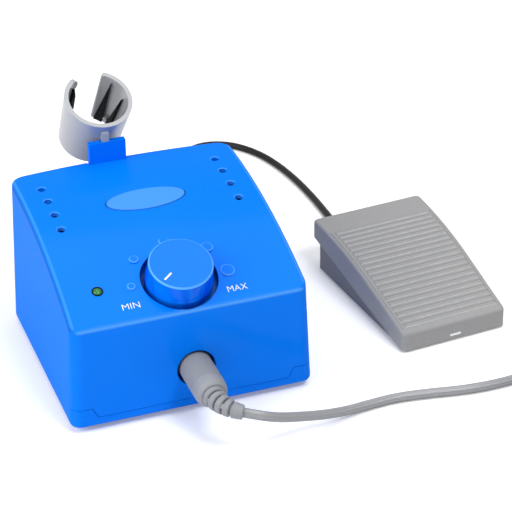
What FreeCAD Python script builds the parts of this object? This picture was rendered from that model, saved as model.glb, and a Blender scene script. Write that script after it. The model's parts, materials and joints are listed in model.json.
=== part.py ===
"""Dental lab micromotor: a mains drive box with a speed knob and a handpiece cradle, its motor lead
and plug, and a foot pedal on a lead.

Box frame: X to the right, Y to the back, Z up, origin on the floor under the middle of the box.
Every piece is written about the middle of the whole set, which shift_to_middle works out.
"""

import FreeCAD, Part
import math
import os

Vector = FreeCAD.Vector
Placement = FreeCAD.Placement
Rotation = FreeCAD.Rotation
X_AXIS = Vector(1, 0, 0)
Y_AXIS = Vector(0, 1, 0)
Z_AXIS = Vector(0, 0, 1)

# Box shell
box_width = 137.2
box_depth = 135.8
foot_height = 3.5
side_lean = 0.041
face_lean = 0.0104
rear_bow = 3.4
front_corner_radius = 6.0
rear_corner_radius = 9.5
bottom_edge_radius = 2.0
bottom_strips = 4
body_margin = 20.0
top_front_height = 64.1
top_middle_height = 85.9
top_rear_height = 90.0
top_edge_radius = 2.2
top_slab_margin = 8.0
wall = 2.5
seam = 0.3
fit = 0.05
lip_height = 5.3
ear_height = 11.3
ear_width = 14.3
ear_slope = 3.0
ear_round = 2.0
vent_radius = 2.15
vent_bevel = 0.35
vent_x = 51.0
vent_first_y = 2.25
vent_pitch = 13.6
vent_count = 4
badge_x = 1.1
badge_y = 15.85
badge_half_width = 22.4
badge_half_height = 9.2
badge_depth = 0.6
badge_rise = 0.35
badge_gap = 0.35

# Speed knob, its dish and its potentiometer
knob_x = -0.2
knob_setback = 20.85
knob_top_radius = 17.5
knob_skirt_radius = 18.4
knob_height = 11.8
knob_bevel = 0.7
knob_wall = 2.0
knob_hub_radius = 5.5
dish_gap = 2.8
dish_depth = 5.0
dish_wall = 1.8
knob_float = 0.8
pointer_width = 1.1
pointer_outer = 14.6
pointer_inner = 8.5
pointer_depth = 0.3
pointer_angle = 216.7
pot_shaft_radius = 3.0
pot_bush_radius = 3.7
pot_nut_width = 10.0
pot_nut_height = 2.0
pot_body_radius = 8.5
pot_body_height = 9.0

# Growing dots about the knob, from slow to fast: angle and radius
dot_circle = 26.8
dot_rise = 0.9
dot_edge = 0.3
dot_angles = (180.7, 138.2, 90.5, 38.8, -3.5)
dot_first_radius = 2.3
dot_last_radius = 3.95

# Lamp
led_x = -45.3
led_setback = 21.65
led_radius = 2.45
led_length = 6.0
led_rim_radius = 3.1
led_rim_height = 0.5
led_sleeve = 0.45

# Motor socket, plug and bend relief
socket_x = 1.5
socket_z = 27.4
recess_radius = 10.9
recess_depth = 8.7
recess_wall = 1.6
socket_flange_radius = 9.8
socket_flange_height = 2.0
socket_barrel_radius = 7.5
socket_barrel_length = 13.0
socket_bore_radius = 6.1
socket_bore_depth = 6.3
socket_nut_width = 20.0
socket_nut_height = 2.0
contact_count = 4
contact_circle = 2.6
contact_radius = 1.1
contact_length = 16.0
pin_radius = 0.5
plug_radius = 9.1
plug_length = 21.4
plug_inside = 5.5
plug_shoulder = 7.4
plug_tail_radius = 6.5
plug_nose_radius = 5.8
plug_nose_length = 7.5
plug_groove_pitch = 1.15
plug_groove_count = 17
plug_groove_depth = 0.45
relief_turn = 62.0
relief_bend_radius = 19.8
relief_droop = 9.0
relief_end_radius = 4.05
relief_rings = 5
relief_slot = 1.1
relief_core_radius = 3.0
relief_round = 0.45
relief_bridge = 2.6

# Leads
motor_cord_diameter = 5.3
motor_coil_outer = 37.5
motor_coil_step = 5.8
motor_coil_x = 210.0
motor_coil_y = -141.0
motor_end_radius = 5.5
motor_end_length = 22.0
pedal_cord_diameter = 4.4
pedal_coil_outer = 31.5
pedal_coil_step = 4.9
pedal_coil_y = 129.0
coil_turns_per_layer = 3.25
coil_layer_gap = 0.45
arc_share = 0.45
floor_gap = 0.05

# Cradle and its bracket
bracket_left = -18.1
bracket_right = 4.0
bracket_top_narrowing = 0.6
bracket_inset = 5.65
bracket_thickness = 4.0
bracket_rise = 12.5
bracket_foot_drop = 53.7
bracket_root_drop = 23.7
bracket_foot_thickness = 3.2
notch_depth = 28.1
tongue_x = -7.45
tongue_width = 4.1
tongue_thickness = 2.0
tongue_depth = 21.7
tongue_rise = 5.1
tongue_gap = 0.15
cradle_rim_x = -6.4
cradle_rim_behind = 15.8
cradle_rim_above = 20.0
cradle_axis = Vector(0.069, -0.496, 0.865)
cradle_rim_radius = 19.7
cradle_foot_radius = 17.4
cradle_wall = 2.5
cradle_length = 37.7
cradle_gap_start = 65.0
cradle_gap_end = 124.5
cradle_lip_radius = 1.2
cradle_left_round = 4.5
cradle_ear_angle = 131.9
cradle_right_round = 2.5
cradle_boss_radius = 1.4
cradle_boss_angle = 33.5
cradle_boss_rise = 5.0
grip_thickness = 1.9

# Base pan and box fastenings
pan_thickness = 2.5
pan_gap = 0.3
box_foot_radius = 7.0
front_foot_side_inset = 13.6
front_foot_end_inset = 12.95
rear_foot_side_inset = 24.6
rear_foot_end_inset = 24.5
foot_stem_radius = 2.5
foot_stem_length = 3.6
post_side_inset = 7.9
post_end_inset = 30.0
post_radius = 4.2
post_height = 26.0
cover_screw_radius = 1.5
cover_screw_length = 14.0
cover_screw_head_radius = 2.8
cover_screw_head_height = 1.8

# Rear panel
panel_side_inset = 12.5
panel_thickness = 2.0
panel_inset = 6.35
panel_height = 42.0
panel_flange = 12.0
rear_opening_side_inset = 15.5
rear_opening_bottom = 8.0
rear_opening_top = 45.0
panel_screw_inset = 8.0
small_screw_radius = 1.5
small_screw_head_radius = 2.7
small_screw_head_height = 1.6
small_screw_length = 6.0
inlet_x = -35.5
inlet_z = 27.0
inlet_width = 27.0
inlet_height = 19.6
inlet_depth = 17.0
inlet_rim = 1.9
inlet_tag_length = 6.0
inlet_pin_setback = 3.0
inlet_wall = 1.7
inlet_pin_width = 2.0
inlet_pin_height = 4.0
inlet_pin_spread = 7.0
switch_x = -7.0
switch_z = 27.0
switch_body_half = 10.4
switch_body_width = 12.6
switch_rim = 1.3
switch_cavity_half = 9.0
switch_cavity_width = 10.2
rocker_half = 8.0
rocker_width = 9.6
rocker_pivot_inset = 3.4
rocker_tilt = 10.0
rocker_pin_radius = 1.2
fuse_x = 14.5
fuse_z = 29.0
fuse_body_radius = 6.0
fuse_flange_radius = 7.5
fuse_flange_height = 1.6
fuse_body_length = 26.0
fuse_cap_radius = 5.4
fuse_cap_height = 3.0
fuse_bore_radius = 3.7
fuse_link_radius = 2.55
fuse_link_length = 20.0
gland_x = 39.0
gland_z = 16.0
gland_radius = 4.2
gland_flange_radius = 6.0
gland_outer_length = 12.5

# Transformer and circuit board
core_x = -19.0
core_y = 10.0
core_width = 57.0
core_height = 48.0
core_depth = 26.0
core_leg = 19.0
bobbin_wall = 1.3
winding_thickness = 7.0
clamp_thickness = 1.5
clamp_foot = 9.0
board_left = 21.0
board_right = 56.0
board_front = -32.0
board_rear = 32.0
board_thickness = 1.6
standoff_height = 8.0
standoff_radius = 3.0
standoff_inset = 4.5
capacitor_radius = 6.5
capacitor_height = 25.0
sink_inset = 17.0
sink_plate = 2.5
sink_fin = 5.5
sink_height = 26.0
transistor_x = 17.0
transistor_width = 10.0
transistor_thickness = 4.4
transistor_rise = 8.0
transistor_height = 15.0
transistor_leg_pitch = 2.54
transistor_leg_width = 0.8
transistor_leg_front = 2.6
transistor_leg_rear = 2.0
terminal_inset = 10.0

# Foot pedal, in its own frame: Y to its rear, turned and set down beside the box
pedal_x = 155.7
pedal_y = 2.45
pedal_turn = 4.9
pedal_front_width = 66.5
pedal_rear_width = 72.0
pedal_length = 111.0
pedal_corner = 3.2
pedal_least_corner = 0.6
tread_front_height = 12.3
tread_slope = 0.253
tread_bend_y = -10.0
skirt_front_height = 0.9
skirt_rear_height = 21.4
tread_wall = 1.6
tread_top_thickness = 2.5
tread_edge_radius = 1.8
base_gap = 0.35
base_rear_y = 50.0
base_wall = 2.0
pedal_foot_height = 1.0
pedal_foot_radius = 6.0
pedal_foot_x = 25.0
pedal_foot_front_y = -42.0
pedal_foot_rear_y = 35.0
press_angle = 4.5
press_clearance = 1.0
hinge_y = -46.5
hinge_z = 6.7
hinge_pin_radius = 1.5
hinge_lug_radius = 2.6
hinge_lug_width = 3.0
hinge_lug_gap = 0.5
hinge_lug_x = 22.0
tread_rib_count = 20
tread_rib_front_y = -49.7
tread_rib_rear_y = 34.5
tread_rib_left_inset = 4.6
tread_rib_right_inset = 3.6
tread_rib_width = 3.0
tread_rib_crest = 1.6
tread_rib_height = 0.45
tread_bead_inset = 2.2
tread_bead_width = 0.8
tread_bead_height = 0.35
switch_lever_arm = 30.0
micro_length = 20.0
micro_width = 6.4
micro_height = 7.2
plunger_radius = 1.5
plunger_drop = 6.1
spring_y = 14.0
spring_radius = 4.0
spring_wire = 1.2
spring_turns = 6.5
spring_boss_radius = 6.0
spring_seat_drop = 3.0
pedal_relief_x = -7.0
pedal_relief_z = 8.0
pedal_relief_radius = 3.6
pedal_relief_length = 8.0

nodes = {}


def block(x0, x1, y0, y1, z0, z1):
    return Part.makeBox(x1 - x0, y1 - y0, z1 - z0, Vector(x0, y0, z0))


def rod(radius, start, end):
    axis = end - start
    return Part.makeCylinder(radius, axis.Length, start, axis)


def upright(radius, x, y, bottom, top):
    return rod(radius, Vector(x, y, bottom), Vector(x, y, top))


def prism(points, depth):
    """Solid with a flat many-sided outline, drawn out along depth."""
    return Part.Face(Part.makePolygon(points + points[:1])).extrude(depth)


def turned(profile):
    """Solid turned about Z from (radius, height) points."""
    points = [Vector(radius, 0, height) for radius, height in profile]
    face = Part.Face(Part.makePolygon(points + points[:1]))
    return face.revolve(Vector(0, 0, 0), Z_AXIS, 360)


def hexagon(width, height, bottom):
    corner = width / 2 / math.cos(math.pi / 6)
    points = []
    for side in range(6):
        angle = math.radians(60 * side)
        points.append(Vector(corner * math.cos(angle), corner * math.sin(angle), bottom))
    return prism(points, Z_AXIS * height)


def joined(*shapes):
    return shapes[0].multiFuse(list(shapes[1:])).removeSplitter()


def placed(shape, placement):
    moved = shape.copy()
    moved.Placement = placement.multiply(moved.Placement)
    return moved


def upward_face(shape):
    """Largest face that looks up."""
    def measure(face):
        low_u, high_u, low_v, high_v = face.ParameterRange
        return face.Area * face.normalAt((low_u + high_u) / 2, (low_v + high_v) / 2).z
    return max(shape.Faces, key=measure)


def cap_screw(x, y, seat, radius, length, head_radius, head_height, down):
    """Screw with its head on a flat seat: down is 1 when the shank points down, else -1."""
    shank = rod(radius, Vector(x, y, seat), Vector(x, y, seat - down * length))
    head = rod(head_radius, Vector(x, y, seat), Vector(x, y, seat + down * head_height))
    slot_depth = head_height / 2
    slot_low = seat + down * slot_depth
    slot_high = seat + down * head_height
    slot = block(x - head_radius, x + head_radius, y - 0.4, y + 0.4,
                 min(slot_low, slot_high), max(slot_low, slot_high))
    return joined(shank, head).cut(slot)


def circle_through(first, second, third):
    """Centre and radius of the circle through three (a, b) points."""
    ax, ay = first
    bx, by = second
    cx, cy = third
    twice_area = 2 * (ax * (by - cy) + bx * (cy - ay) + cx * (ay - by))
    a_square = ax * ax + ay * ay
    b_square = bx * bx + by * by
    c_square = cx * cx + cy * cy
    centre_a = (a_square * (by - cy) + b_square * (cy - ay) + c_square * (ay - by)) / twice_area
    centre_b = (a_square * (cx - bx) + b_square * (ax - cx) + c_square * (bx - ax)) / twice_area
    return centre_a, centre_b, math.hypot(ax - centre_a, ay - centre_b)


# Box geometry that several pieces share

knob_y = knob_setback - box_depth / 2
led_y = led_setback - box_depth / 2
bracket_front_y = box_depth / 2 - bracket_inset
bracket_top = top_rear_height + bracket_rise
bracket_foot_bottom = bracket_top - bracket_foot_drop
bracket_foot_top = bracket_top - bracket_root_drop
notch_bottom = top_rear_height - notch_depth
tongue_bottom = bracket_top - tongue_depth
tongue_top = bracket_top + tongue_rise
cradle_rim = Vector(cradle_rim_x, bracket_front_y + cradle_rim_behind, bracket_top + cradle_rim_above)
post_x = box_width / 2 - post_side_inset
post_y = box_depth / 2 - post_end_inset
panel_half_width = box_width / 2 - panel_side_inset
panel_rear_y = box_depth / 2 - panel_inset
panel_screw_x = panel_half_width - panel_screw_inset
rear_opening_half_width = box_width / 2 - rear_opening_side_inset

box_bottom = foot_height
top_centre_y, top_centre_z, top_radius = circle_through(
    (-box_depth / 2, top_front_height), (0.0, top_middle_height), (box_depth / 2, top_rear_height))
bow_chord = box_width / 2 - rear_corner_radius
rear_bow_radius = (bow_chord ** 2 + rear_bow ** 2) / (2 * rear_bow)
pan_top = box_bottom + pan_thickness
dish_radius = knob_skirt_radius + dish_gap


def half_width_at(z):
    return box_width / 2 - side_lean * (z - box_bottom)


def front_at(z):
    return -box_depth / 2 + face_lean * (z - box_bottom)


def rear_at(z, x=0.0):
    """Outside of the rear face, which bows in plan."""
    middle = box_depth / 2 - face_lean * (z - box_bottom)
    return middle - rear_bow_radius + math.sqrt(rear_bow_radius ** 2 - x ** 2)


def top_at(y, offset=0.0):
    return top_centre_z + math.sqrt((top_radius + offset) ** 2 - (y - top_centre_y) ** 2)


def top_seat(x, y):
    """Frame on the top face, with its Z square to the face."""
    height = top_at(y)
    tilt = math.degrees(math.atan2(y - top_centre_y, height - top_centre_z))
    return Placement(Vector(x, y, height), Rotation(X_AXIS, -tilt))


def box_plan(z, inset):
    """Outline of the box at height z, drawn in by inset."""
    front_radius = front_corner_radius - inset
    rear_radius = rear_corner_radius - inset
    half = half_width_at(z) - inset
    bow_radius = rear_bow_radius - inset
    bow_centre = Vector(0, rear_at(z) - rear_bow_radius, z)
    front_y = front_at(z) + inset + front_radius
    rear_x = half - rear_radius
    rear_y = bow_centre.y + math.sqrt((bow_radius - rear_radius) ** 2 - rear_x ** 2)
    rear_angle = math.atan2(rear_y - bow_centre.y, rear_x)
    edges = []

    def corner(side, centre_y, radius, from_angle, to_angle):
        points = []
        for angle in (from_angle, (from_angle + to_angle) / 2, to_angle):
            x = half - radius + radius * math.cos(angle)
            points.append(Vector(side * x, centre_y + radius * math.sin(angle), z))
        return points

    front_right = corner(1, front_y, front_radius, -math.pi / 2, 0)
    rear_right = corner(1, rear_y, rear_radius, 0, rear_angle)
    rear_left = corner(-1, rear_y, rear_radius, rear_angle, 0)
    front_left = corner(-1, front_y, front_radius, 0, -math.pi / 2)
    edges.append(Part.makeLine(front_left[2], front_right[0]))
    edges.append(Part.Arc(*front_right).toShape())
    edges.append(Part.makeLine(front_right[2], rear_right[0]))
    edges.append(Part.Arc(*rear_right).toShape())
    rear_middle = Vector(0, bow_centre.y + bow_radius, z)
    edges.append(Part.Arc(rear_right[2], rear_middle, rear_left[0]).toShape())
    edges.append(Part.Arc(*rear_left).toShape())
    edges.append(Part.makeLine(rear_left[2], front_left[0]))
    edges.append(Part.Arc(*front_left).toShape())
    return Part.Wire(edges)


def top_slab(rise):
    """Everything under the top face moved out by rise."""
    reach = box_depth / 2 + top_slab_margin
    width = box_width
    arc = Part.Arc(Vector(-width, -reach, top_at(-reach, rise)), Vector(-width, 0, top_at(0, rise)),
                   Vector(-width, reach, top_at(reach, rise))).toShape()
    front_foot = Vector(-width, -reach, -50)
    rear_foot = Vector(-width, reach, -50)
    sides = [arc, Part.makeLine(arc.Vertexes[1].Point, rear_foot), Part.makeLine(rear_foot, front_foot),
             Part.makeLine(front_foot, arc.Vertexes[0].Point)]
    return Part.Face(Part.Wire(sides)).extrude(X_AXIS * 2 * width)


def box_body(bottom, inset, drop):
    """Solid inside the box's outline drawn in by inset, under the top face lowered by drop."""
    plans = [box_plan(bottom, inset), box_plan(top_rear_height + body_margin, inset)]
    return Part.makeLoft(plans, True, True).common(top_slab(-drop))


def lip_zone(grow):
    """Space that the base pan's front lip and its corner ears take of the shell."""
    tangent_y = front_at(box_bottom) + front_corner_radius + grow
    inner_x = box_width / 2 - ear_width - grow
    lip_top = box_bottom + lip_height + grow
    ear_top = box_bottom + ear_height + grow
    far = box_width
    low = box_bottom - 5
    outline = [Vector(-far, -far, low), Vector(far, -far, low), Vector(far, -far, ear_top),
               Vector(inner_x + ear_slope, -far, ear_top), Vector(inner_x, -far, lip_top),
               Vector(-inner_x, -far, lip_top), Vector(-inner_x - ear_slope, -far, ear_top),
               Vector(-far, -far, ear_top)]
    zone = prism(outline, Y_AXIS * (far + tangent_y))
    inner_corners = []
    for edge in zone.Edges:
        start, end = [vertex.Point for vertex in edge.Vertexes]
        runs_back = abs(start.x - end.x) < fit and abs(start.z - end.z) < fit
        if runs_back and abs(abs(start.x) - inner_x) < fit and abs(start.z - lip_top) < fit:
            inner_corners.append(edge)
    return zone.makeFillet(ear_round - grow, inner_corners)


def outer_body():
    """Box body with its bottom edge rounded in narrow strips."""
    plans = []
    for strip in range(bottom_strips + 1):
        angle = math.pi / 2 * strip / bottom_strips
        rise = bottom_edge_radius * (1 - math.cos(angle))
        plans.append(box_plan(box_bottom + rise, bottom_edge_radius * (1 - math.sin(angle))))
    plans.append(box_plan(top_rear_height + body_margin, 0))
    return Part.makeLoft(plans, True, True).common(top_slab(0))


knob_seat = top_seat(knob_x, knob_y)
led_seat = top_seat(led_x, led_y)
badge_seat = top_seat(badge_x, badge_y)
socket_seat = Placement(Vector(socket_x, front_at(socket_z), socket_z), Rotation(X_AXIS, 90))
knob_foreshortening = knob_seat.Rotation.multVec(Z_AXIS).z
shell_outer = outer_body()


def badge_prism(grow):
    """Oval column square to the top face at the badge."""
    oval = Part.Ellipse(Vector(0, 0, -5), badge_half_width + grow, badge_half_height + grow)
    column = Part.Face(Part.Wire(oval.toShape())).extrude(Z_AXIS * 10)
    return placed(column, badge_seat)


def posts():
    """Screw posts in the cover's corners, each tied to its side wall."""
    shapes = []
    top = pan_top + fit + post_height
    for side in (-1, 1):
        for end in (-1, 1):
            x = side * post_x
            y = end * post_y
            shapes.append(upright(post_radius, x, y, pan_top + fit, top))
            outer_x = side * half_width_at(pan_top)
            shapes.append(block(min(x, outer_x), max(x, outer_x), y - 1.5, y + 1.5, pan_top + fit, top))
    return joined(*shapes).common(shell_outer)


def dots():
    """Raised dots that grow round the knob from slow to fast."""
    shapes = []
    count = len(dot_angles)
    for number, angle in enumerate(dot_angles):
        radius = dot_first_radius + (dot_last_radius - dot_first_radius) * number / (count - 1)
        x = knob_x + dot_circle * math.cos(math.radians(angle))
        y = knob_y + dot_circle * knob_foreshortening * math.sin(math.radians(angle))
        dome = turned([(0, -1), (radius, -1), (radius, dot_rise - dot_edge), (radius - dot_edge, dot_rise),
                       (0, dot_rise)])
        shapes.append(placed(dome, top_seat(x, y)))
    return shapes


def top_cover():
    """Outer shell with the knob dish, socket recess, vents, posts and rear openings."""
    edges = upward_face(shell_outer).Edges
    outer = shell_outer.makeFillet(top_edge_radius, edges)
    inner = box_body(box_bottom - 1, wall, wall)
    dish_cup = turned([(0, -dish_depth - dish_wall), (dish_radius + dish_wall, -dish_depth - dish_wall),
                       (dish_radius + dish_wall, 6), (0, 6)])
    dish_bore = turned([(0, -dish_depth), (dish_radius, -dish_depth), (dish_radius, 20), (0, 20)])
    bush_hole = rod(pot_bush_radius + fit, Vector(0, 0, -dish_depth - 5), Vector(0, 0, 0))
    cup_floor = -recess_depth - recess_wall
    socket_cup = turned([(0, cup_floor), (recess_radius + recess_wall, cup_floor),
                         (recess_radius + recess_wall, 5), (0, 5)])
    socket_bore = turned([(0, -recess_depth), (recess_radius, -recess_depth), (recess_radius, 10), (0, 10)])
    barrel_hole = rod(socket_barrel_radius + fit, Vector(0, 0, cup_floor - 5), Vector(0, 0, 0))
    body = outer.cut(inner)
    body = joined(body, placed(dish_cup, knob_seat).common(outer),
                  placed(socket_cup, socket_seat).common(outer), posts(), *dots())
    tools = [placed(dish_bore, knob_seat), placed(bush_hole, knob_seat),
             placed(socket_bore, socket_seat), placed(barrel_hole, socket_seat), lip_zone(seam)]
    for side in (-1, 1):
        for row in range(vent_count):
            hole = rod(vent_radius, Vector(0, 0, -2 * wall), Vector(0, 0, 2))
            bevel = turned([(0, -vent_bevel), (vent_radius, -vent_bevel),
                            (vent_radius + 2 * vent_bevel, vent_bevel), (0, vent_bevel)])
            seat = top_seat(side * vent_x, vent_first_y + row * vent_pitch)
            tools += [placed(hole, seat), placed(bevel, seat)]
        for end in (-1, 1):
            tools.append(upright(cover_screw_radius + fit, side * post_x, end * post_y,
                                 box_bottom, pan_top + cover_screw_length))
    sleeve_radius = led_radius + led_sleeve + 2 * fit
    tools.append(placed(rod(sleeve_radius, Vector(0, 0, -2 * wall), Vector(0, 0, 2)), led_seat))
    rear = box_depth
    tools.append(block(bracket_left - seam, bracket_right + seam, bracket_front_y - seam, rear,
                       notch_bottom, rear))
    tools.append(block(-rear_opening_half_width, rear_opening_half_width, panel_rear_y - 10, rear,
                       rear_opening_bottom, rear_opening_top))
    foot_rear = bracket_foot_rear()
    for x in bracket_screw_places():
        start = Vector(x, foot_rear, bracket_screw_z())
        tools.append(rod(small_screw_radius + fit, start, start + Y_AXIS * 20))
    tools.append(badge_prism(badge_gap).cut(top_slab(-badge_depth)))
    return body.cut(tools)


def name_badge():
    """Blank oval plate that follows the top face in its shallow pocket."""
    return badge_prism(0).common(top_slab(badge_rise)).cut(top_slab(fit - badge_depth))


def box_foot_places():
    """Centres of the four feet: the front pair stands wider than the rear pair."""
    front_x = box_width / 2 - front_foot_side_inset
    rear_x = box_width / 2 - rear_foot_side_inset
    front_y = front_foot_end_inset - box_depth / 2
    rear_y = box_depth / 2 - rear_foot_end_inset
    return [(-front_x, front_y), (front_x, front_y), (-rear_x, rear_y), (rear_x, rear_y)]


def base_pan():
    """Floor of the box with the front lip and the two corner ears."""
    plans = [box_plan(height, wall + pan_gap) for height in (box_bottom, pan_top)]
    floor = Part.makeLoft(plans, True, True)
    skin = shell_outer.cut(box_body(box_bottom - 1, wall, wall)).common(lip_zone(0))
    slab = block(-box_width, box_width, -box_depth, box_depth, box_bottom - 1, pan_top)
    bridge = shell_outer.common(lip_zone(0)).common(slab)
    body = joined(floor, skin, bridge)
    tools = [upright(foot_stem_radius + fit, x, y, 0, pan_top + 5) for x, y in box_foot_places()]
    for side in (-1, 1):
        for end in (-1, 1):
            tools.append(upright(cover_screw_radius + fit, side * post_x, end * post_y, 0, pan_top + 5))
        tools.append(upright(small_screw_radius + fit, side * panel_screw_x, panel_screw_y(), 0, pan_top + 5))
        tools.append(upright(small_screw_radius + fit, core_x + side * clamp_screw_reach(), core_y,
                             0, pan_top + 5))
    return body.cut(tools)


def rubber_feet():
    """Four round feet, each with a stem pressed through the pan."""
    shapes = []
    for x, y in box_foot_places():
        foot = turned([(0, 0), (box_foot_radius - 0.8, 0), (box_foot_radius, 0.8),
                       (box_foot_radius, foot_height), (foot_stem_radius, foot_height),
                       (foot_stem_radius, foot_height + foot_stem_length),
                       (0, foot_height + foot_stem_length)])
        foot.translate(Vector(x, y, 0))
        shapes.append(foot)
    return shapes


def cover_screws():
    return [cap_screw(side * post_x, end * post_y, box_bottom, cover_screw_radius, cover_screw_length,
                      cover_screw_head_radius, cover_screw_head_height, -1)
            for side in (-1, 1) for end in (-1, 1)]


# Knob and potentiometer, in the knob seat's frame

def speed_knob():
    """Flared knob with a hollow back, a hub for the shaft and a groove for its pointer."""
    bottom = knob_float - dish_depth
    flare = knob_top_radius + 0.75 * (knob_skirt_radius - knob_top_radius)
    body = turned([(0, knob_height), (knob_top_radius - knob_bevel, knob_height),
                   (knob_top_radius, knob_height - knob_bevel), (flare, 1.4),
                   (knob_skirt_radius, 0.5), (knob_skirt_radius, bottom), (0, bottom)])
    ceiling = knob_height - 2 * knob_wall
    cavity_radius = knob_top_radius - knob_wall
    hub_bottom = pot_nut_height - dish_depth + 1.2
    cavity = turned([(knob_hub_radius, ceiling), (cavity_radius, ceiling),
                     (knob_skirt_radius - knob_wall, bottom), (0, bottom), (0, hub_bottom),
                     (knob_hub_radius, hub_bottom)])
    bore = rod(pot_shaft_radius + fit, Vector(0, 0, bottom), Vector(0, 0, shaft_top() + fit))
    pointer = block(pointer_inner, pointer_outer, -pointer_width / 2, pointer_width / 2,
                    knob_height - pointer_depth, knob_height + 1)
    pointer.rotate(Vector(0, 0, 0), Z_AXIS, pointer_angle)
    return placed(body.cut([cavity, bore, pointer]), knob_seat)


def shaft_top():
    return knob_height - 3 * knob_wall


def pot_shaft():
    bottom = -dish_depth - dish_wall - pot_body_height / 2
    return placed(rod(pot_shaft_radius, Vector(0, 0, bottom), Vector(0, 0, shaft_top())), knob_seat)


def pot_body():
    """Can and threaded bush of the speed potentiometer, with its three tags."""
    top = -dish_depth - dish_wall - fit
    bottom = top - pot_body_height
    bush_top = pot_nut_height - dish_depth + 0.6
    can = rod(pot_body_radius, Vector(0, 0, bottom), Vector(0, 0, top))
    bush = rod(pot_bush_radius, Vector(0, 0, top), Vector(0, 0, bush_top))
    tags = [block(x - 0.8, x + 0.8, pot_body_radius - 3, pot_body_radius + 6, bottom, bottom + 0.8)
            for x in (-5.0, 0.0, 5.0)]
    bore = rod(pot_shaft_radius + fit, Vector(0, 0, -dish_depth - dish_wall - pot_body_height / 2 - fit),
               Vector(0, 0, bush_top + 1))
    return placed(joined(can, bush, *tags).cut(bore), knob_seat)


def pot_nut():
    nut = hexagon(pot_nut_width, pot_nut_height, fit - dish_depth)
    bore = rod(pot_bush_radius + fit, Vector(0, 0, -dish_depth), Vector(0, 0, 0))
    return placed(nut.cut(bore), knob_seat)


# Lamp, in its seat's frame

def status_led():
    """Green lamp with a domed end and two legs."""
    straight_top = led_rim_height - 0.3
    barrel = rod(led_radius, Vector(0, 0, -led_length), Vector(0, 0, straight_top))
    dome_height = 1.0
    dome_sphere = (led_radius ** 2 + dome_height ** 2) / (2 * dome_height)
    ball = Part.makeSphere(dome_sphere, Vector(0, 0, straight_top + dome_height - dome_sphere))
    dome = ball.common(rod(led_radius, Vector(0, 0, straight_top - 0.5), Vector(0, 0, straight_top + 3)))
    flange = rod(led_radius + 0.4, Vector(0, 0, -led_length), Vector(0, 0, 1 - led_length))
    legs = [block(x - 0.25, x + 0.25, -0.25, 0.25, -led_length - 8, 0.5 - led_length) for x in (-1.27, 1.27)]
    return placed(joined(barrel, dome, flange, *legs), led_seat)


def led_retainer():
    """Dark ring that holds the lamp in the cover."""
    sleeve = led_radius + led_sleeve
    bore = led_radius + fit
    ring = turned([(bore, 2 * fit - led_length + 1), (sleeve, 2 * fit - led_length + 1), (sleeve, fit),
                   (led_rim_radius, fit), (led_rim_radius, led_rim_height - 0.15),
                   (led_rim_radius - 0.15, led_rim_height), (bore, led_rim_height)])
    return placed(ring, led_seat)


# Motor socket and plug, in the socket seat's frame

def contact_places():
    places = []
    for number in range(contact_count):
        angle = 2 * math.pi * (number + 0.5) / contact_count
        places.append((contact_circle * math.cos(angle), contact_circle * math.sin(angle)))
    return places


def motor_socket():
    """Round socket set in the recess, with holes for its contacts."""
    seat = fit - recess_depth
    front = seat + socket_flange_height
    body = turned([(0, front), (socket_flange_radius, front), (socket_flange_radius, seat),
                   (socket_barrel_radius, seat), (socket_barrel_radius, seat - socket_barrel_length),
                   (0, seat - socket_barrel_length)])
    tools = [rod(socket_bore_radius, Vector(0, 0, seat - socket_bore_depth), Vector(0, 0, front + 1))]
    behind = seat - socket_barrel_length - 1
    for x, y in contact_places():
        tools.append(rod(contact_radius + fit, Vector(x, y, behind), Vector(x, y, 0)))
    return placed(body.cut(tools), socket_seat)


def socket_contacts():
    """Hollow contacts that run from the socket's mouth to tags behind it."""
    front = fit - recess_depth
    shapes = []
    for x, y in contact_places():
        tube = rod(contact_radius, Vector(x, y, front - contact_length), Vector(x, y, front))
        bore = rod(pin_radius + 2 * fit, Vector(x, y, front - plug_nose_length), Vector(x, y, front + 1))
        shapes.append(placed(tube.cut(bore), socket_seat))
    return shapes


def socket_nut():
    seat = -recess_depth - recess_wall - fit
    nut = hexagon(socket_nut_width, socket_nut_height, seat - socket_nut_height)
    bore = rod(socket_barrel_radius + fit, Vector(0, 0, seat - 10), Vector(0, 0, seat + 5))
    return placed(nut.cut(bore), socket_seat)


def plug_body():
    """Grooved plug with a rounded shoulder and a nose sleeve about its pins."""
    barrel_end = plug_length
    tail = barrel_end + plug_shoulder
    profile = [(0, -plug_inside), (plug_radius - 0.6, -plug_inside), (plug_radius, 0.6 - plug_inside)]
    half = plug_groove_pitch / 4
    for number in range(plug_groove_count):
        middle = 1.2 + number * plug_groove_pitch
        profile += [(plug_radius, middle - half), (plug_radius - plug_groove_depth, middle),
                    (plug_radius, middle + half)]
    steps = 6
    drop = plug_radius - plug_tail_radius
    for step in range(steps + 1):
        turn = math.pi / 2 * step / steps
        profile.append((plug_tail_radius + drop * math.cos(turn),
                        barrel_end + plug_shoulder * math.sin(turn)))
    profile.append((0, tail))
    nose_end = -plug_inside - plug_nose_length
    nose = turned([(plug_nose_radius, 0.5 - plug_inside), (plug_nose_radius, nose_end),
                   (plug_nose_radius - 1.0, nose_end), (plug_nose_radius - 1.0, 0.5 - plug_inside)])
    return placed(joined(turned(profile), nose), socket_seat)


def plug_pins():
    top = -plug_inside
    bottom = fit - recess_depth - plug_nose_length + 1
    return [placed(rod(pin_radius, Vector(x, y, bottom), Vector(x, y, top)), socket_seat)
            for x, y in contact_places()]


def relief_station(share):
    """Point and direction on the bent axis of the plug's bend relief."""
    start = Vector(socket_x, front_at(socket_z) - plug_length - plug_shoulder - fit, socket_z)
    droop = math.radians(relief_droop)
    sideways = Vector(math.cos(droop), 0, -math.sin(droop))
    turn = math.radians(relief_turn) * share
    point = start - Y_AXIS * relief_bend_radius * math.sin(turn)
    point += sideways * relief_bend_radius * (1 - math.cos(turn))
    return point, sideways * math.sin(turn) - Y_AXIS * math.cos(turn)


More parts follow.
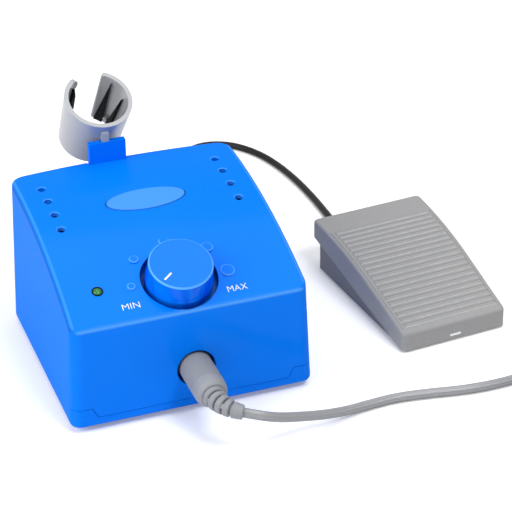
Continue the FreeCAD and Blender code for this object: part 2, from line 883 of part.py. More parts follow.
def relief_ring(share, radius):
    point, direction = relief_station(share)
    return Part.Wire(Part.Circle(point, direction, radius).toShape())


def relief_radius(share):
    return plug_tail_radius - 0.1 + (relief_end_radius - plug_tail_radius) * share


def relief_bridge_block(share, quarter):
    """Bar through the relief's core that ties two rings together on opposite sides."""
    point, direction = relief_station(share)
    half = relief_bridge / 2
    reach = math.sqrt((relief_radius(share) - relief_round - 2 * fit) ** 2 - half ** 2)
    depth = relief_slot - 2 * fit
    bar = block(-reach, reach, -half, half, -depth, depth)
    bar.rotate(Vector(0, 0, 0), Z_AXIS, 90 * quarter)
    return placed(bar, Placement(point, Rotation(Z_AXIS, direction)))


def plug_strain_relief():
    """Tapered bend relief: rounded rings on a core, with open slots that bridges cross in turn."""
    steps = 2 * relief_rings
    core = Part.makeLoft([relief_ring(n / steps, relief_core_radius) for n in range(steps + 1)], True, True)
    axis_length = relief_bend_radius * math.radians(relief_turn)
    slot = relief_slot / axis_length
    width = (1 - (relief_rings - 1) * slot) / (relief_rings + 1)
    parts = [core]
    for number in range(relief_rings):
        start = number * (width + slot)
        end = 1.0 if number == relief_rings - 1 else start + width
        edge = relief_round / axis_length
        stations = [(start, relief_round), (start + edge, 0), ((start + end) / 2, 0), (end - edge, 0),
                    (end, relief_round)]
        parts.append(Part.makeLoft([relief_ring(share, relief_radius(share) - inset)
                                    for share, inset in stations], True, True))
        if number < relief_rings - 1:
            parts.append(relief_bridge_block(end + slot / 2, number % 2))
    return joined(*parts)


# Leads

def route_wire(points, name, diameter):
    """Straight runs joined by tangent arcs; prints the arcs' radii."""
    edges = []
    radii = []
    last = points[0]
    for before, corner, after in zip(points, points[1:], points[2:]):
        run_in = corner - before
        run_out = after - corner
        turn = run_in.getAngle(run_out)
        trim = arc_share * min(run_in.Length, run_out.Length)
        radius = trim / math.tan(turn / 2)
        radii.append(radius)
        into = run_in / run_in.Length
        out = run_out / run_out.Length
        arc_start = corner - into * trim
        arc_end = corner + out * trim
        inward = out - into
        inward = inward / inward.Length
        middle = corner + inward * radius * (1 / math.cos(turn / 2) - 1)
        edges.append(Part.makeLine(last, arc_start))
        edges.append(Part.Arc(arc_start, middle, arc_end).toShape())
        last = arc_end
    edges.append(Part.makeLine(last, points[-1]))
    shown = " ".join(f"{radius:.0f}" for radius in radii)
    print(f"{name}: radii {shown} (diameter {diameter})")
    return Part.Wire(edges)


def sweep(wire, diameter, name):
    """Round tube along a wire; prints its volume against section times length."""
    start = wire.Edges[0].valueAt(wire.Edges[0].FirstParameter)
    direction = wire.Edges[0].tangentAt(wire.Edges[0].FirstParameter)
    section = Part.Wire(Part.Circle(start, direction, diameter / 2).toShape())
    tube = wire.makePipeShell([section], True, False)
    expected = math.pi * diameter ** 2 / 4 * wire.Length
    print(f"{name}: length {wire.Length:.1f}, volume ratio {tube.Volume / expected:.5f}, {tube.isValid()}")
    return tube


def lead(points, diameter, name):
    return sweep(route_wire(points, name, diameter), diameter, name)


class Coil:
    """Put-away coil: spirals in, climbs one layer in the reversing half turn and spirals out again."""

    def __init__(self, centre, outer, step, diameter, start_angle, spin):
        self.centre = centre
        self.outer = outer
        self.step = step
        self.diameter = diameter
        self.start_angle = start_angle
        self.spin = spin
        self.turns = 2 * coil_turns_per_layer + 0.5

    def point(self, turn):
        """Point on the cord's centre line after so many turns."""
        radius = self.outer - self.step * min(turn, self.turns - turn)
        climb = min(max((turn - coil_turns_per_layer) / 0.5, 0.0), 1.0)
        eased = climb * climb * (3 - 2 * climb)
        height = self.diameter / 2 + floor_gap + (self.diameter + coil_layer_gap) * eased
        angle = self.start_angle + self.spin * 2 * math.pi * turn
        return self.centre + Vector(radius * math.cos(angle), radius * math.sin(angle), height)

    def direction(self, turn):
        small = 1e-4
        along = self.point(turn + small) - self.point(turn - small)
        return along / along.Length

    def start(self):
        return self.point(0) - self.direction(0) * self.diameter

    def end(self):
        return self.point(self.turns) + self.direction(self.turns) * self.diameter

    def arcs(self, turn, next_turn):
        """Two tangent arcs from one quarter-turn station to the next."""
        first = self.point(turn)
        last = self.point(next_turn)
        leaving = self.direction(turn)
        arriving = self.direction(next_turn)
        gap = last - first
        along = gap.dot(leaving + arriving)
        spread = 2 * (1 - leaving.dot(arriving))
        reach = (-along + math.sqrt(along ** 2 + spread * gap.dot(gap))) / spread
        first_knee = first + leaving * reach
        last_knee = last - arriving * reach
        joint = (first_knee + last_knee) / 2
        return [self.arc(first, first_knee, joint), self.arc(joint, last_knee, last)]

    def arc(self, start, knee, end):
        """Arc tangent to both legs of a knee with equal legs."""
        chord_middle = (start + end) / 2
        outward = knee - chord_middle
        half_chord = (end - start).Length / 2
        half_turn = math.atan2(outward.Length, half_chord)
        rise = half_chord * math.tan(half_turn / 2)
        return Part.Arc(start, chord_middle + outward / outward.Length * rise, end).toShape()

    def solid(self, name):
        edges = [Part.makeLine(self.start(), self.point(0))]
        quarters = round(self.turns * 4)
        for quarter in range(quarters):
            edges += self.arcs(quarter / 4, (quarter + 1) / 4)
        edges.append(Part.makeLine(self.point(self.turns), self.end()))
        wire = Part.Wire(edges)
        self.print_least_gap(wire, name)
        return sweep(wire, self.diameter, name)

    def print_least_gap(self, wire, name):
        samples_per_turn = 72
        points = wire.discretize(Number=int(samples_per_turn * self.turns))
        apart = samples_per_turn // 3
        least = min((points[j] - points[i]).Length
                    for i in range(len(points)) for j in range(i + apart, len(points)))
        print(f"{name}: least gap to itself {least - self.diameter:.2f}")


motor_coil = Coil(Vector(motor_coil_x, motor_coil_y, 0), motor_coil_outer, motor_coil_step,
                  motor_cord_diameter, math.pi / 2, -1)
pedal_coil = Coil(Vector(gland_x - pedal_coil_outer, pedal_coil_y, 0), pedal_coil_outer, pedal_coil_step,
                  pedal_cord_diameter, 0.0, 1)
motor_floor = motor_cord_diameter / 2 + floor_gap
pedal_floor = pedal_cord_diameter / 2 + floor_gap


def motor_cord():
    """Motor lead from the plug to its coil, and from the coil to its far connector."""
    exit_point, exit_direction = relief_station(1.0)
    exit_point += exit_direction * fit
    first = [exit_point, exit_point + exit_direction * 9,
             Vector(30.0, -117.6, 20.4), Vector(42.5, -112.6, 14.6), Vector(58.5, -107.0, 8.2),
             Vector(74.6, -102.1, 3.8), Vector(89.0, -99.2, motor_floor), Vector(106.0, -98.2, motor_floor),
             Vector(125.0, -101.0, motor_floor), Vector(144.0, -104.8, motor_floor),
             Vector(165.0, -105.6, motor_floor),
             motor_coil.start() - motor_coil.direction(0) * 18, motor_coil.start()]
    last = [motor_coil.end(), motor_coil.end() + motor_coil.direction(motor_coil.turns) * 12,
            Vector(242.0, -107.0, 7.6), motor_end_start() - motor_end_direction() * 12, motor_end_start()]
    return [lead(first, motor_cord_diameter, "motor_cord"), lead(last, motor_cord_diameter, "motor_cord end")]


def motor_end_start():
    return Vector(261.0, -123.0, motor_end_radius + floor_gap)


def motor_end_direction():
    return Vector(math.cos(math.radians(-52)), math.sin(math.radians(-52)), 0)


def motor_connector():
    """Screw connector for the handpiece at the motor lead's far end."""
    grip = motor_end_length * 0.55
    body = turned([(0, fit), (motor_cord_diameter / 2 + 0.8, fit), (motor_end_radius - 1.2, 5.0),
                   (motor_end_radius - 1.2, 6.0), (motor_end_radius, 6.0), (motor_end_radius, 6.0 + grip),
                   (motor_end_radius - 0.8, 6.0 + grip), (motor_end_radius - 0.8, motor_end_length),
                   (motor_end_radius - 1.8, motor_end_length), (motor_end_radius - 1.8, motor_end_length - 6),
                   (0, motor_end_length - 6)])
    return placed(body, Placement(motor_end_start(), Rotation(Z_AXIS, motor_end_direction())))


def pedal_cord():
    """Pedal lead from the box's rear to its coil, and from the coil to the pedal."""
    gland_end = Vector(gland_x, gland_end_y() + fit, gland_z)
    first = [gland_end, gland_end + Y_AXIS * 7, Vector(gland_x + 0.3, 90.0, 12.6),
             Vector(gland_x - 0.2, 100.5, 7.2), Vector(gland_x + 0.2, 111.5, 2.8),
             pedal_coil.start() - pedal_coil.direction(0) * 7, pedal_coil.start()]
    pedal_exit = placed_point(pedal_relief_x, base_rear_y + pedal_relief_length + 2 * fit, pedal_relief_z)
    backward = pedal_frame.Rotation.multVec(Y_AXIS)
    last = [pedal_coil.end(), pedal_coil.end() + pedal_coil.direction(pedal_coil.turns) * 9,
            Vector(43.0, 156.0, 4.0), Vector(51.5, 171.0, pedal_floor), Vector(61.5, 187.5, pedal_floor),
            Vector(72.5, 203.0, pedal_floor), Vector(84.4, 215.6, pedal_floor),
            Vector(95.0, 223.2, pedal_floor), Vector(107.5, 224.2, pedal_floor),
            Vector(120.2, 217.8, pedal_floor), Vector(129.9, 205.0, pedal_floor),
            Vector(136.5, 189.6, pedal_floor), Vector(141.7, 166.4, pedal_floor),
            Vector(144.5, 138.0, pedal_floor), Vector(145.1, 110.0, pedal_floor),
            Vector(144.6, 89.0, pedal_floor + 0.6), pedal_exit + backward * 11, pedal_exit]
    return [lead(first, pedal_cord_diameter, "pedal_cord at box"),
            lead(last, pedal_cord_diameter, "pedal_cord to pedal")]


# Cradle and bracket

def bracket_foot_rear():
    """Rear of the bracket's foot, on the inside of the rear wall."""
    return rear_at(bracket_foot_top, bracket_left) - wall - 0.15


def bracket_screw_places():
    middle = (bracket_left + bracket_right) / 2
    return (middle - 6.0, middle + 6.0)


def bracket_screw_z():
    return (bracket_foot_bottom + notch_bottom) / 2


def cradle_bracket():
    """Upright blade with an open pocket for the cradle's tongue, on a foot inside the rear wall."""
    rear = bracket_front_y + bracket_thickness
    shoulder = bracket_top - bracket_thickness
    top_left = bracket_left + bracket_top_narrowing
    outline = [Vector(bracket_left, bracket_front_y, notch_bottom + seam),
               Vector(bracket_right, bracket_front_y, notch_bottom + seam),
               Vector(bracket_right, bracket_front_y, bracket_top),
               Vector(top_left, bracket_front_y, bracket_top),
               Vector(top_left, bracket_front_y, shoulder)]
    blade = prism(outline, Y_AXIS * bracket_thickness)
    foot_rear = bracket_foot_rear()
    foot = block(bracket_left, bracket_right, foot_rear - bracket_foot_thickness, foot_rear,
                 bracket_foot_bottom, bracket_foot_top)
    root = block(bracket_left, bracket_right, foot_rear - bracket_foot_thickness, rear - 1,
                 notch_bottom + seam, bracket_foot_top)
    pocket = block(tongue_x - tongue_width / 2 - tongue_gap, tongue_x + tongue_width / 2 + tongue_gap,
                   bracket_front_y + (bracket_thickness - tongue_thickness) / 2 - tongue_gap,
                   bracket_front_y + (bracket_thickness + tongue_thickness) / 2 + tongue_gap,
                   tongue_bottom - 1, bracket_top + 1)
    tools = [pocket]
    for x in bracket_screw_places():
        start = Vector(x, foot_rear - bracket_foot_thickness - 1, bracket_screw_z())
        tools.append(rod(small_screw_radius + fit, start, start + Y_AXIS * 20))
    return joined(blade, root, foot).cut(tools)


def bracket_screws():
    """Two screws through the rear wall into the bracket's foot."""
    shapes = []
    for x in bracket_screw_places():
        nearest_x = abs(x) - small_screw_head_radius
        seat = rear_at(bracket_screw_z() - small_screw_head_radius, max(nearest_x, 0)) + fit
        head = rod(small_screw_head_radius, Vector(x, seat, bracket_screw_z()),
                   Vector(x, seat + small_screw_head_height, bracket_screw_z()))
        shank = rod(small_screw_radius, Vector(x, seat, bracket_screw_z()),
                    Vector(x, seat - small_screw_length + 1, bracket_screw_z()))
        slot = block(x - small_screw_head_radius, x + small_screw_head_radius,
                     seat + small_screw_head_height / 2, seat + small_screw_head_height,
                     bracket_screw_z() - 0.4, bracket_screw_z() + 0.4)
        shapes.append(joined(head, shank).cut(slot))
    return shapes


def cradle_frame():
    """Frame at the middle of the cradle's rim: Z out of the rim, X across."""
    n = cradle_axis / cradle_axis.Length
    e1 = X_AXIS - n * X_AXIS.dot(n)
    e1 = e1 / e1.Length
    return Placement(cradle_rim, Rotation(e1, n.cross(e1), n, "ZXY"))


def wedge(from_angle, to_angle, reach, low, high):
    """Column with its edge on the axis that spans the given angles."""
    points = [Vector(0, 0, low)]
    pieces = max(2, math.ceil((to_angle - from_angle) / 45))
    for piece in range(pieces + 1):
        angle = math.radians(from_angle + (to_angle - from_angle) * piece / pieces)
        points.append(Vector(reach * math.cos(angle), reach * math.sin(angle), low))
    return prism(points, Z_AXIS * (high - low))


def cradle_radius(depth):
    """Outside radius of the cradle's cone at a depth under its rim."""
    return cradle_rim_radius + (cradle_foot_radius - cradle_rim_radius) * depth / cradle_length


def cradle_cone(inset, top_depth, low_depth):
    """Solid cone that follows the cradle's outside, drawn in by inset."""
    return Part.makeCone(cradle_radius(low_depth) - inset, cradle_radius(top_depth) - inset,
                         low_depth - top_depth, Vector(0, 0, -low_depth))


def round_off(radius, side):
    """Tool that rounds a corner at the rim: the wall runs on from X = 0 toward side, out along Y."""
    middle = side * (radius - cradle_lip_radius)
    reach = 3 * cradle_rim_radius
    corner = block(min(-3 * side, middle), max(-3 * side, middle), 0, reach, -radius, 1)
    return corner.cut(rod(radius, Vector(middle, -1, -radius), Vector(middle, reach + 1, -radius)))


def handpiece_cradle():
    """Split cone that the handpiece drops into, on a neck with a tongue for the bracket."""
    bore = cradle_cone(cradle_wall, -1, cradle_length + 1)
    ear_turn = math.radians(cradle_ear_angle)
    ear_out = Vector(math.cos(ear_turn), math.sin(ear_turn), 0)
    ear_depth = Z_AXIS * -cradle_left_round
    ear = rod(cradle_left_round, ear_out * cradle_rim_radius / 2 + ear_depth,
              ear_out * 3 * cradle_rim_radius + ear_depth)
    mouth = wedge(cradle_gap_start, cradle_gap_end, 3 * cradle_rim_radius, -cradle_length - 1, 1).cut(ear)
    split = cradle_cone(0, 0, cradle_length).cut([bore, mouth])
    slab = rod(2 * cradle_rim_radius, Vector(0, 0, -cradle_length), Vector(0, 0, 0))
    lips = []
    corners = []
    for angle, side, round_radius in ((cradle_gap_start, 1, cradle_right_round),
                                      (cradle_gap_end, -1, cradle_left_round)):
        outward = Vector(math.cos(math.radians(angle)), math.sin(math.radians(angle)), 0)
        ends = [outward * (cradle_radius(depth) - cradle_wall / 2) - Z_AXIS * depth
                for depth in (cradle_length + 1, -1)]
        lips.append(rod(cradle_lip_radius, *ends).common(slab))
        corner = round_off(round_radius, side)
        corner.rotate(Vector(0, 0, 0), Z_AXIS, angle - 90)
        corners.append(corner.cut(ear))
    boss_turn = math.radians(cradle_boss_angle)
    boss_out = Vector(math.cos(boss_turn), math.sin(boss_turn), 0)
    boss_depth = cradle_length - cradle_boss_rise
    boss_wall = boss_out * (cradle_radius(boss_depth) - cradle_wall) - Z_AXIS * boss_depth
    boss = rod(cradle_boss_radius, boss_wall + boss_out * cradle_wall / 2,
               boss_wall - boss_out * grip_thickness)
    tube = placed(joined(split, *lips, boss).cut(corners), frame_of_cradle)
    blade_y = bracket_front_y + bracket_thickness / 2
    left = tongue_x - tongue_width / 2
    right = tongue_x + tongue_width / 2
    tongue = block(left, right, blade_y - tongue_thickness / 2, blade_y + tongue_thickness / 2,
                   tongue_bottom, tongue_top)
    neck_outline = [Vector(left, blade_y - tongue_thickness / 2, bracket_top + 0.6),
                    Vector(left, blade_y + bracket_thickness, bracket_top + 0.6),
                    Vector(left, blade_y + bracket_thickness + 4.0, tongue_top + 4.0),
                    Vector(left, blade_y + tongue_thickness / 2, tongue_top + 4.0),
                    Vector(left, blade_y - tongue_thickness / 2, tongue_top)]
    neck = prism(neck_outline, X_AXIS * tongue_width).cut(placed(bore, frame_of_cradle))
    return joined(tube, tongue, neck)


def grip(points):
    """Pad on the cradle's inside, from (angle, depth) corners."""
    middle = sum(angle for angle, depth in points) / len(points)
    reach = cradle_rim_radius - cradle_wall
    corners = []
    for angle, depth in points:
        across = (cradle_radius(depth) - cradle_wall) * math.tan(math.radians(angle - middle))
        corners.append(Vector(0, across, -depth))
    pad = prism(corners, X_AXIS * 2 * reach)
    pad.rotate(Vector(0, 0, 0), Z_AXIS, middle)
    outer = cradle_cone(cradle_wall + fit, -1, cradle_length + 1)
    return pad.common(outer.cut(cradle_cone(cradle_wall + fit + grip_thickness, -2, cradle_length + 2)))


def cradle_grips():
    """Three pointed rubber pads that hold the handpiece."""
    foot = cradle_length - 1.0
    pads = [grip([(46.0, 3.0), (61.0, foot), (40.5, foot)]),
            grip([(7.0, 6.0), (28.0, foot), (14.0, foot)]),
            grip([(133.0, 4.0), (139.5, 14.0), (126.5, 24.0), (126.5, 12.0)])]
    return [placed(pad, frame_of_cradle) for pad in pads]


frame_of_cradle = cradle_frame()


# Rear panel and what it carries

def panel_screw_y():
    return panel_rear_y - panel_thickness - panel_flange / 2


def gland_end_y():
    return panel_rear_y + gland_outer_length


def panel_window(x, z, half_width, half_height):
    """Tool for a rectangular window through the rear panel."""
    return block(x - half_width, x + half_width, panel_rear_y - panel_thickness - 1, panel_rear_y + 1,
                 z - half_height, z + half_height)


def panel_hole(x, z, radius):
    """Tool for a round hole through the rear panel."""
    return rod(radius, Vector(x, panel_rear_y - panel_thickness - 1, z), Vector(x, panel_rear_y + 1, z))


def rear_panel():
    """Plate behind the cover's rear opening, on a flange screwed to the pan."""
    front = panel_rear_y - panel_thickness
    plate = block(-panel_half_width, panel_half_width, front, panel_rear_y,
                  pan_top + fit, pan_top + panel_height)
    flange = block(-panel_half_width, panel_half_width, front - panel_flange, front,
                   pan_top + fit, pan_top + fit + panel_thickness)
    gap = 2 * fit
    tools = [panel_window(inlet_x, inlet_z, inlet_width / 2 + gap, inlet_height / 2 + gap),
             panel_window(switch_x, switch_z, switch_body_width / 2 + gap, switch_body_half + gap),
             panel_hole(fuse_x, fuse_z, fuse_body_radius + gap),
             panel_hole(gland_x, gland_z, gland_radius + gap)]
    for side in (-1, 1):
        x = side * panel_screw_x
        tools.append(upright(small_screw_radius + fit, x, panel_screw_y(), 0, pan_top + 10))
    return joined(plate, flange).cut(tools)


def panel_screws():
    return [cap_screw(side * panel_screw_x, panel_screw_y(), pan_top + 2 * fit + panel_thickness,
                      small_screw_radius, small_screw_length - 2, small_screw_head_radius,
                      small_screw_head_height, 1) for side in (-1, 1)]


def mains_inlet():
    """Three-pin mains inlet with a rim outside the panel."""
    half_width = inlet_width / 2
    half_height = inlet_height / 2
    rear = panel_rear_y + fit
    back = rear - inlet_depth
    body = block(inlet_x - half_width, inlet_x + half_width, back, rear,
                 inlet_z - half_height, inlet_z + half_height)
    rim = block(inlet_x - half_width - inlet_rim, inlet_x + half_width + inlet_rim, rear, rear + 2.2,
                inlet_z - half_height - inlet_rim, inlet_z + half_height + inlet_rim)
    cavity = block(inlet_x - half_width + inlet_wall, inlet_x + half_width - inlet_wall, back + 2.5, rear + 3,
                   inlet_z - half_height + inlet_wall, inlet_z + half_height - inlet_wall)
    slots = [inlet_pin_block(offset, rise, fit, back - 1, rear) for offset, rise in inlet_pin_places()]
    return joined(body, rim).cut([cavity] + slots)


def inlet_pin_places():
    return ((-inlet_pin_spread, -2.0), (0.0, 2.0), (inlet_pin_spread, -2.0))


def inlet_pin_block(offset, rise, grow, front, rear):
    x = inlet_x + offset
    z = inlet_z + rise
    return block(x - inlet_pin_width / 2 - grow, x + inlet_pin_width / 2 + grow, front, rear,
                 z - inlet_pin_height / 2 - grow, z + inlet_pin_height / 2 + grow)


def inlet_pins():
    """Three flat pins, each with a tag behind the inlet."""
    back = panel_rear_y + fit - inlet_depth
    return [inlet_pin_block(offset, rise, 0, back - inlet_tag_length, panel_rear_y - inlet_pin_setback)
            for offset, rise in inlet_pin_places()]


def rocker_pivot():
    return Vector(switch_x, panel_rear_y - rocker_pivot_inset, switch_z)


def power_switch_frame():
    """Housing of the mains switch with a well for its rocker and two tags."""
    rear = panel_rear_y + fit
    depth = 15.0
    half = switch_body_half
    width = switch_body_width / 2
    body = block(switch_x - width, switch_x + width, rear - depth, rear, switch_z - half, switch_z + half)
    rim = block(switch_x - width - switch_rim, switch_x + width + switch_rim, rear, rear + 1.5,
                switch_z - half - switch_rim, switch_z + half + switch_rim)
    well = block(switch_x - switch_cavity_width / 2, switch_x + switch_cavity_width / 2, rear - 10, rear + 2,
                 switch_z - switch_cavity_half, switch_z + switch_cavity_half)
    pivot = rocker_pivot()
    reach = X_AXIS * (switch_cavity_width / 2 + 0.8)
    pin_hole = rod(rocker_pin_radius + fit, pivot - reach, pivot + reach)
    tags = [block(switch_x - 2.4, switch_x + 2.4, rear - depth - 7, rear - depth + 0.5, z - 0.4, z + 0.4)
            for z in (switch_z - 5, switch_z + 5)]
    return joined(body, rim, *tags).cut([well, pin_hole])


def power_rocker():
    """Rocker with two slanted faces and its pivot pins, resting at off."""
    dish = rocker_half * math.tan(math.radians(rocker_tilt))
    low = rocker_pivot_inset + 0.4
    outline = [(-rocker_half, low + dish), (0, low), (rocker_half, low + dish), (rocker_half, 1.0),
               (3.0, -4.0), (-3.0, -4.0), (-rocker_half, 1.0)]
    half = rocker_width / 2
    body = prism([Vector(-half, out, along) for along, out in outline], X_AXIS * rocker_width)
    pins = rod(rocker_pin_radius, Vector(-switch_cavity_width / 2 - 0.6, 0, 0),
               Vector(switch_cavity_width / 2 + 0.6, 0, 0))
    rocker = joined(body, pins)
    rocker.rotate(Vector(0, 0, 0), X_AXIS, rocker_tilt)
    rocker.translate(rocker_pivot())
    return rocker


def fuse_holder():
    """Panel fuse holder: flanged tube with a bore for the fuse and a rear tag."""
    seat = Vector(fuse_x, panel_rear_y + fit, fuse_z)
    back = seat - Y_AXIS * fuse_body_length
    flange = rod(fuse_flange_radius, seat, seat + Y_AXIS * fuse_flange_height)
    body = rod(fuse_body_radius, back, seat + Y_AXIS * fuse_flange_height / 2)
    bore = rod(fuse_bore_radius, back + Y_AXIS * 1.5, seat + Y_AXIS * 2 * fuse_flange_height)
    tag = block(fuse_x - 1.5, fuse_x + 1.5, back.y - 6, back.y + 0.5, fuse_z - 0.4, fuse_z + 0.4)
    return joined(flange, body, tag).cut(bore)


def fuse_face_y():
    return panel_rear_y + fit + fuse_flange_height


def fuse_cap():
    """Slotted cap with a stem that grips the fuse's end."""
    face = fuse_face_y() + 2 * fit
    stem_radius = fuse_bore_radius - 2 * fit
    start = Vector(fuse_x, face, fuse_z)
    head = rod(fuse_cap_radius, start, start + Y_AXIS * fuse_cap_height)
    stem = rod(stem_radius, start - Y_AXIS * 8, start)
    grip_bore = rod(fuse_link_radius + fit, start - Y_AXIS * 9, start - Y_AXIS * 2)
    slot = block(fuse_x - fuse_cap_radius, fuse_x + fuse_cap_radius, face + fuse_cap_height - 1.2,
                 face + fuse_cap_height + 1, fuse_z - 0.6, fuse_z + 0.6)
    return joined(head, stem).cut([grip_bore, slot])


def fuse_link():
    start = Vector(fuse_x, fuse_face_y() - 2, fuse_z)
    return rod(fuse_link_radius, start - Y_AXIS * fuse_link_length, start)


def pedal_cord_gland():
    """Bend relief of the pedal lead in the rear panel."""
    front = panel_rear_y - panel_thickness
    bore = pedal_cord_diameter / 2 + fit
    profile = [(bore, front - 4), (gland_radius + 1, front - 4), (gland_radius + 1, front - fit),
               (gland_radius, front - fit), (gland_radius, panel_rear_y + fit),
               (gland_flange_radius, panel_rear_y + fit), (gland_flange_radius, panel_rear_y + 2.5),
               (gland_radius - 0.4, panel_rear_y + 2.5), (pedal_cord_diameter / 2 + 0.9, gland_end_y()),
               (bore, gland_end_y())]
    ring = turned(profile)
    plug = rod(bore, Vector(0, 0, front - 4), Vector(0, 0, gland_end_y()))
    return placed(joined(ring, plug), Placement(Vector(gland_x, 0, gland_z), Rotation(X_AXIS, -90)))


# Transformer and circuit board

def transformer_core():
    """Laminated core with two windows about its middle leg."""
    side_leg = core_leg / 2
    half = core_width / 2
    body = block(-half, half, -core_depth / 2, core_depth / 2, 0, core_height)
    windows = [block(min(x0, x1), max(x0, x1), -core_depth, core_depth, side_leg, core_height - side_leg)
               for x0, x1 in ((-half + side_leg, -core_leg / 2), (core_leg / 2, half - side_leg))]
    return placed(body.cut(windows), core_seat)


def bobbin_ring(inner_grow, outer_grow, low, high):
    """Rectangular ring about the core's middle leg."""
    half_x = core_leg / 2
    half_y = core_depth / 2
    outer = block(-half_x - outer_grow, half_x + outer_grow, -half_y - outer_grow, half_y + outer_grow,
                  low, high)
    inner = block(-half_x - inner_grow, half_x + inner_grow, -half_y - inner_grow, half_y + inner_grow,
                  low - 1, high + 1)
    return outer.cut(inner)


def transformer_bobbin():
    low = core_leg / 2 + 2 * fit
    high = core_height - core_leg / 2 - 2 * fit
    gap = 2 * fit
    reach = winding_thickness + bobbin_wall + gap
    return placed(joined(bobbin_ring(gap, gap + bobbin_wall, low, high),
                         bobbin_ring(gap, reach, low, low + bobbin_wall),
                         bobbin_ring(gap, reach, high - bobbin_wall, high)), core_seat)


def transformer_winding():
    low = core_leg / 2 + bobbin_wall + 3 * fit
    high = core_height - core_leg / 2 - bobbin_wall - 3 * fit
    inner = bobbin_wall + 3 * fit
    return placed(bobbin_ring(inner, inner + winding_thickness - 2 * fit, low, high), core_seat)


def clamp_screw_reach():
    return core_width / 2 + fit + clamp_thickness + clamp_foot / 2


def transformer_clamp():
    """Strap over the core with a screwed foot on each side."""
    inner = core_width / 2 + fit
    outer = inner + clamp_thickness
    half_depth = core_leg / 2
    top = core_height + fit
    strap = block(-outer, outer, -half_depth, half_depth, 0, top + clamp_thickness)
    hollow = block(-inner, inner, -half_depth - 1, half_depth + 1, -1, top)
    feet = block(-outer - clamp_foot, outer + clamp_foot, -half_depth, half_depth, 0, clamp_thickness)
    holes = [rod(small_screw_radius + fit, Vector(side * clamp_screw_reach(), 0, -1),
                 Vector(side * clamp_screw_reach(), 0, 5)) for side in (-1, 1)]
    return placed(joined(strap, feet).cut([hollow] + holes), core_seat)


def transformer_screws():
    seat = pan_top + fit + clamp_thickness + fit
    return [cap_screw(core_x + side * clamp_screw_reach(), core_y, seat, small_screw_radius,
                      small_screw_length - 2, small_screw_head_radius, small_screw_head_height, 1)
            for side in (-1, 1)]


core_seat = Placement(Vector(core_x, core_y, pan_top + fit), Rotation())
board_bottom = pan_top + fit + standoff_height
board_top = board_bottom + board_thickness


def board_corners():
    return [(x, y) for x in (board_left + standoff_inset, board_right - standoff_inset)
            for y in (board_front + standoff_inset, board_rear - standoff_inset)]


def board_standoffs():
    shapes = []
    for x, y in board_corners():
        post = upright(standoff_radius, x, y, pan_top + fit, board_bottom - fit)
        shapes.append(post.cut(upright(small_screw_radius + fit, x, y, pan_top + 3, board_bottom + 1)))
    return shapes


def circuit_board():
    board = block(board_left, board_right, board_front, board_rear, board_bottom, board_top)
    return board.cut([upright(small_screw_radius + fit, x, y, board_bottom - 1, board_top + 1)
                      for x, y in board_corners()])


def board_screws():
    return [cap_screw(x, y, board_top + fit, small_screw_radius, small_screw_length - 1,
                      small_screw_head_radius, small_screw_head_height, 1) for x, y in board_corners()]


def capacitors():
    """Two upright smoothing capacitors."""
    x = board_right - capacitor_radius - 4.0
    middle = (heat_sink_front() + sink_plate + sink_fin + terminal_front()) / 2
    shapes = []
    for side in (-1, 1):
        y = middle + side * (capacitor_radius + 0.5)
        can = upright(capacitor_radius, x, y, board_top + fit, board_top + capacitor_height)
        shapes.append(can.makeFillet(1.0, [edge for edge in can.Edges if edge.Closed]))
    return shapes


def bridge_rectifier():
    return block(board_left + 3, board_left + 7, 2, 20, board_top + fit, board_top + 15)


def heat_sink_front():
    return board_front + sink_inset


def terminal_front():
    return board_rear - terminal_inset


def heat_sink():
    """Finned plate that stands on the board behind the power transistor."""
    left = board_left + 4
    front = heat_sink_front()
    rear = front + sink_plate
    plate = block(left, left + 26, front, rear, board_top + fit, board_top + sink_height)
    fins = [block(left + n * 4.9, left + n * 4.9 + 1.4, rear - 0.5, rear + sink_fin, board_top + fit,
                  board_top + sink_height) for n in range(6)]
    return joined(plate, *fins)


def power_transistor():
    """Flat power transistor on the heat sink, with three legs into the board."""
    x = board_left + transistor_x
    rear = heat_sink_front() - fit
    bottom = board_top + transistor_rise
    case = block(x - transistor_width / 2, x + transistor_width / 2, rear - transistor_thickness, rear,
                 bottom, bottom + transistor_height)
    legs = []
    for number in (-1, 0, 1):
        middle = x + number * transistor_leg_pitch
        legs.append(block(middle - transistor_leg_width / 2, middle + transistor_leg_width / 2,
                          rear - transistor_leg_front, rear - transistor_leg_rear,
                          board_top + fit, bottom + 0.5))
    return joined(case, *legs)


def terminal_block():
    """Row of five screw terminals for the wires."""
    left = board_left + 7.4
    front = terminal_front()
    body = block(left, left + 20, front, front + 8, board_top + fit, board_top + 10)
    holes = [upright(1.5, left + 2 + n * 4, front + 4, board_top + 6, board_top + 11) for n in range(5)]
    return body.cut(holes)


# Foot pedal, in its own frame

pedal_frame = Placement(Vector(pedal_x, pedal_y, 0), Rotation(Z_AXIS, pedal_turn))
pedal_half = pedal_length / 2
tread_angle = math.atan(tread_slope)
tread_arch_radius = (pedal_half - tread_bend_y) / math.sin(tread_angle)
tread_bend_height = tread_front_height + tread_slope * (tread_bend_y + pedal_half)
tread_arch_centre_z = tread_bend_height - tread_arch_radius * math.cos(tread_angle)
pedal_foot_top = pedal_foot_height
base_floor = pedal_foot_top + base_wall


def placed_point(x, y, z):
    return pedal_frame.multVec(Vector(x, y, z))


def tread_at(y, offset=0.0):
    """Height of the treadle's top, moved out by offset: a slope, then an arch level at the rear."""
    if y <= tread_bend_y - offset * math.sin(tread_angle):
        return tread_front_height + tread_slope * (y + pedal_half) + offset / math.cos(tread_angle)
    return tread_arch_centre_z + math.sqrt((tread_arch_radius + offset) ** 2 - (y - pedal_half) ** 2)


def tread_tilt_at(y):
    """Slope of the treadle's top in degrees."""
    return math.degrees(min(tread_angle, math.asin((pedal_half - y) / tread_arch_radius)))


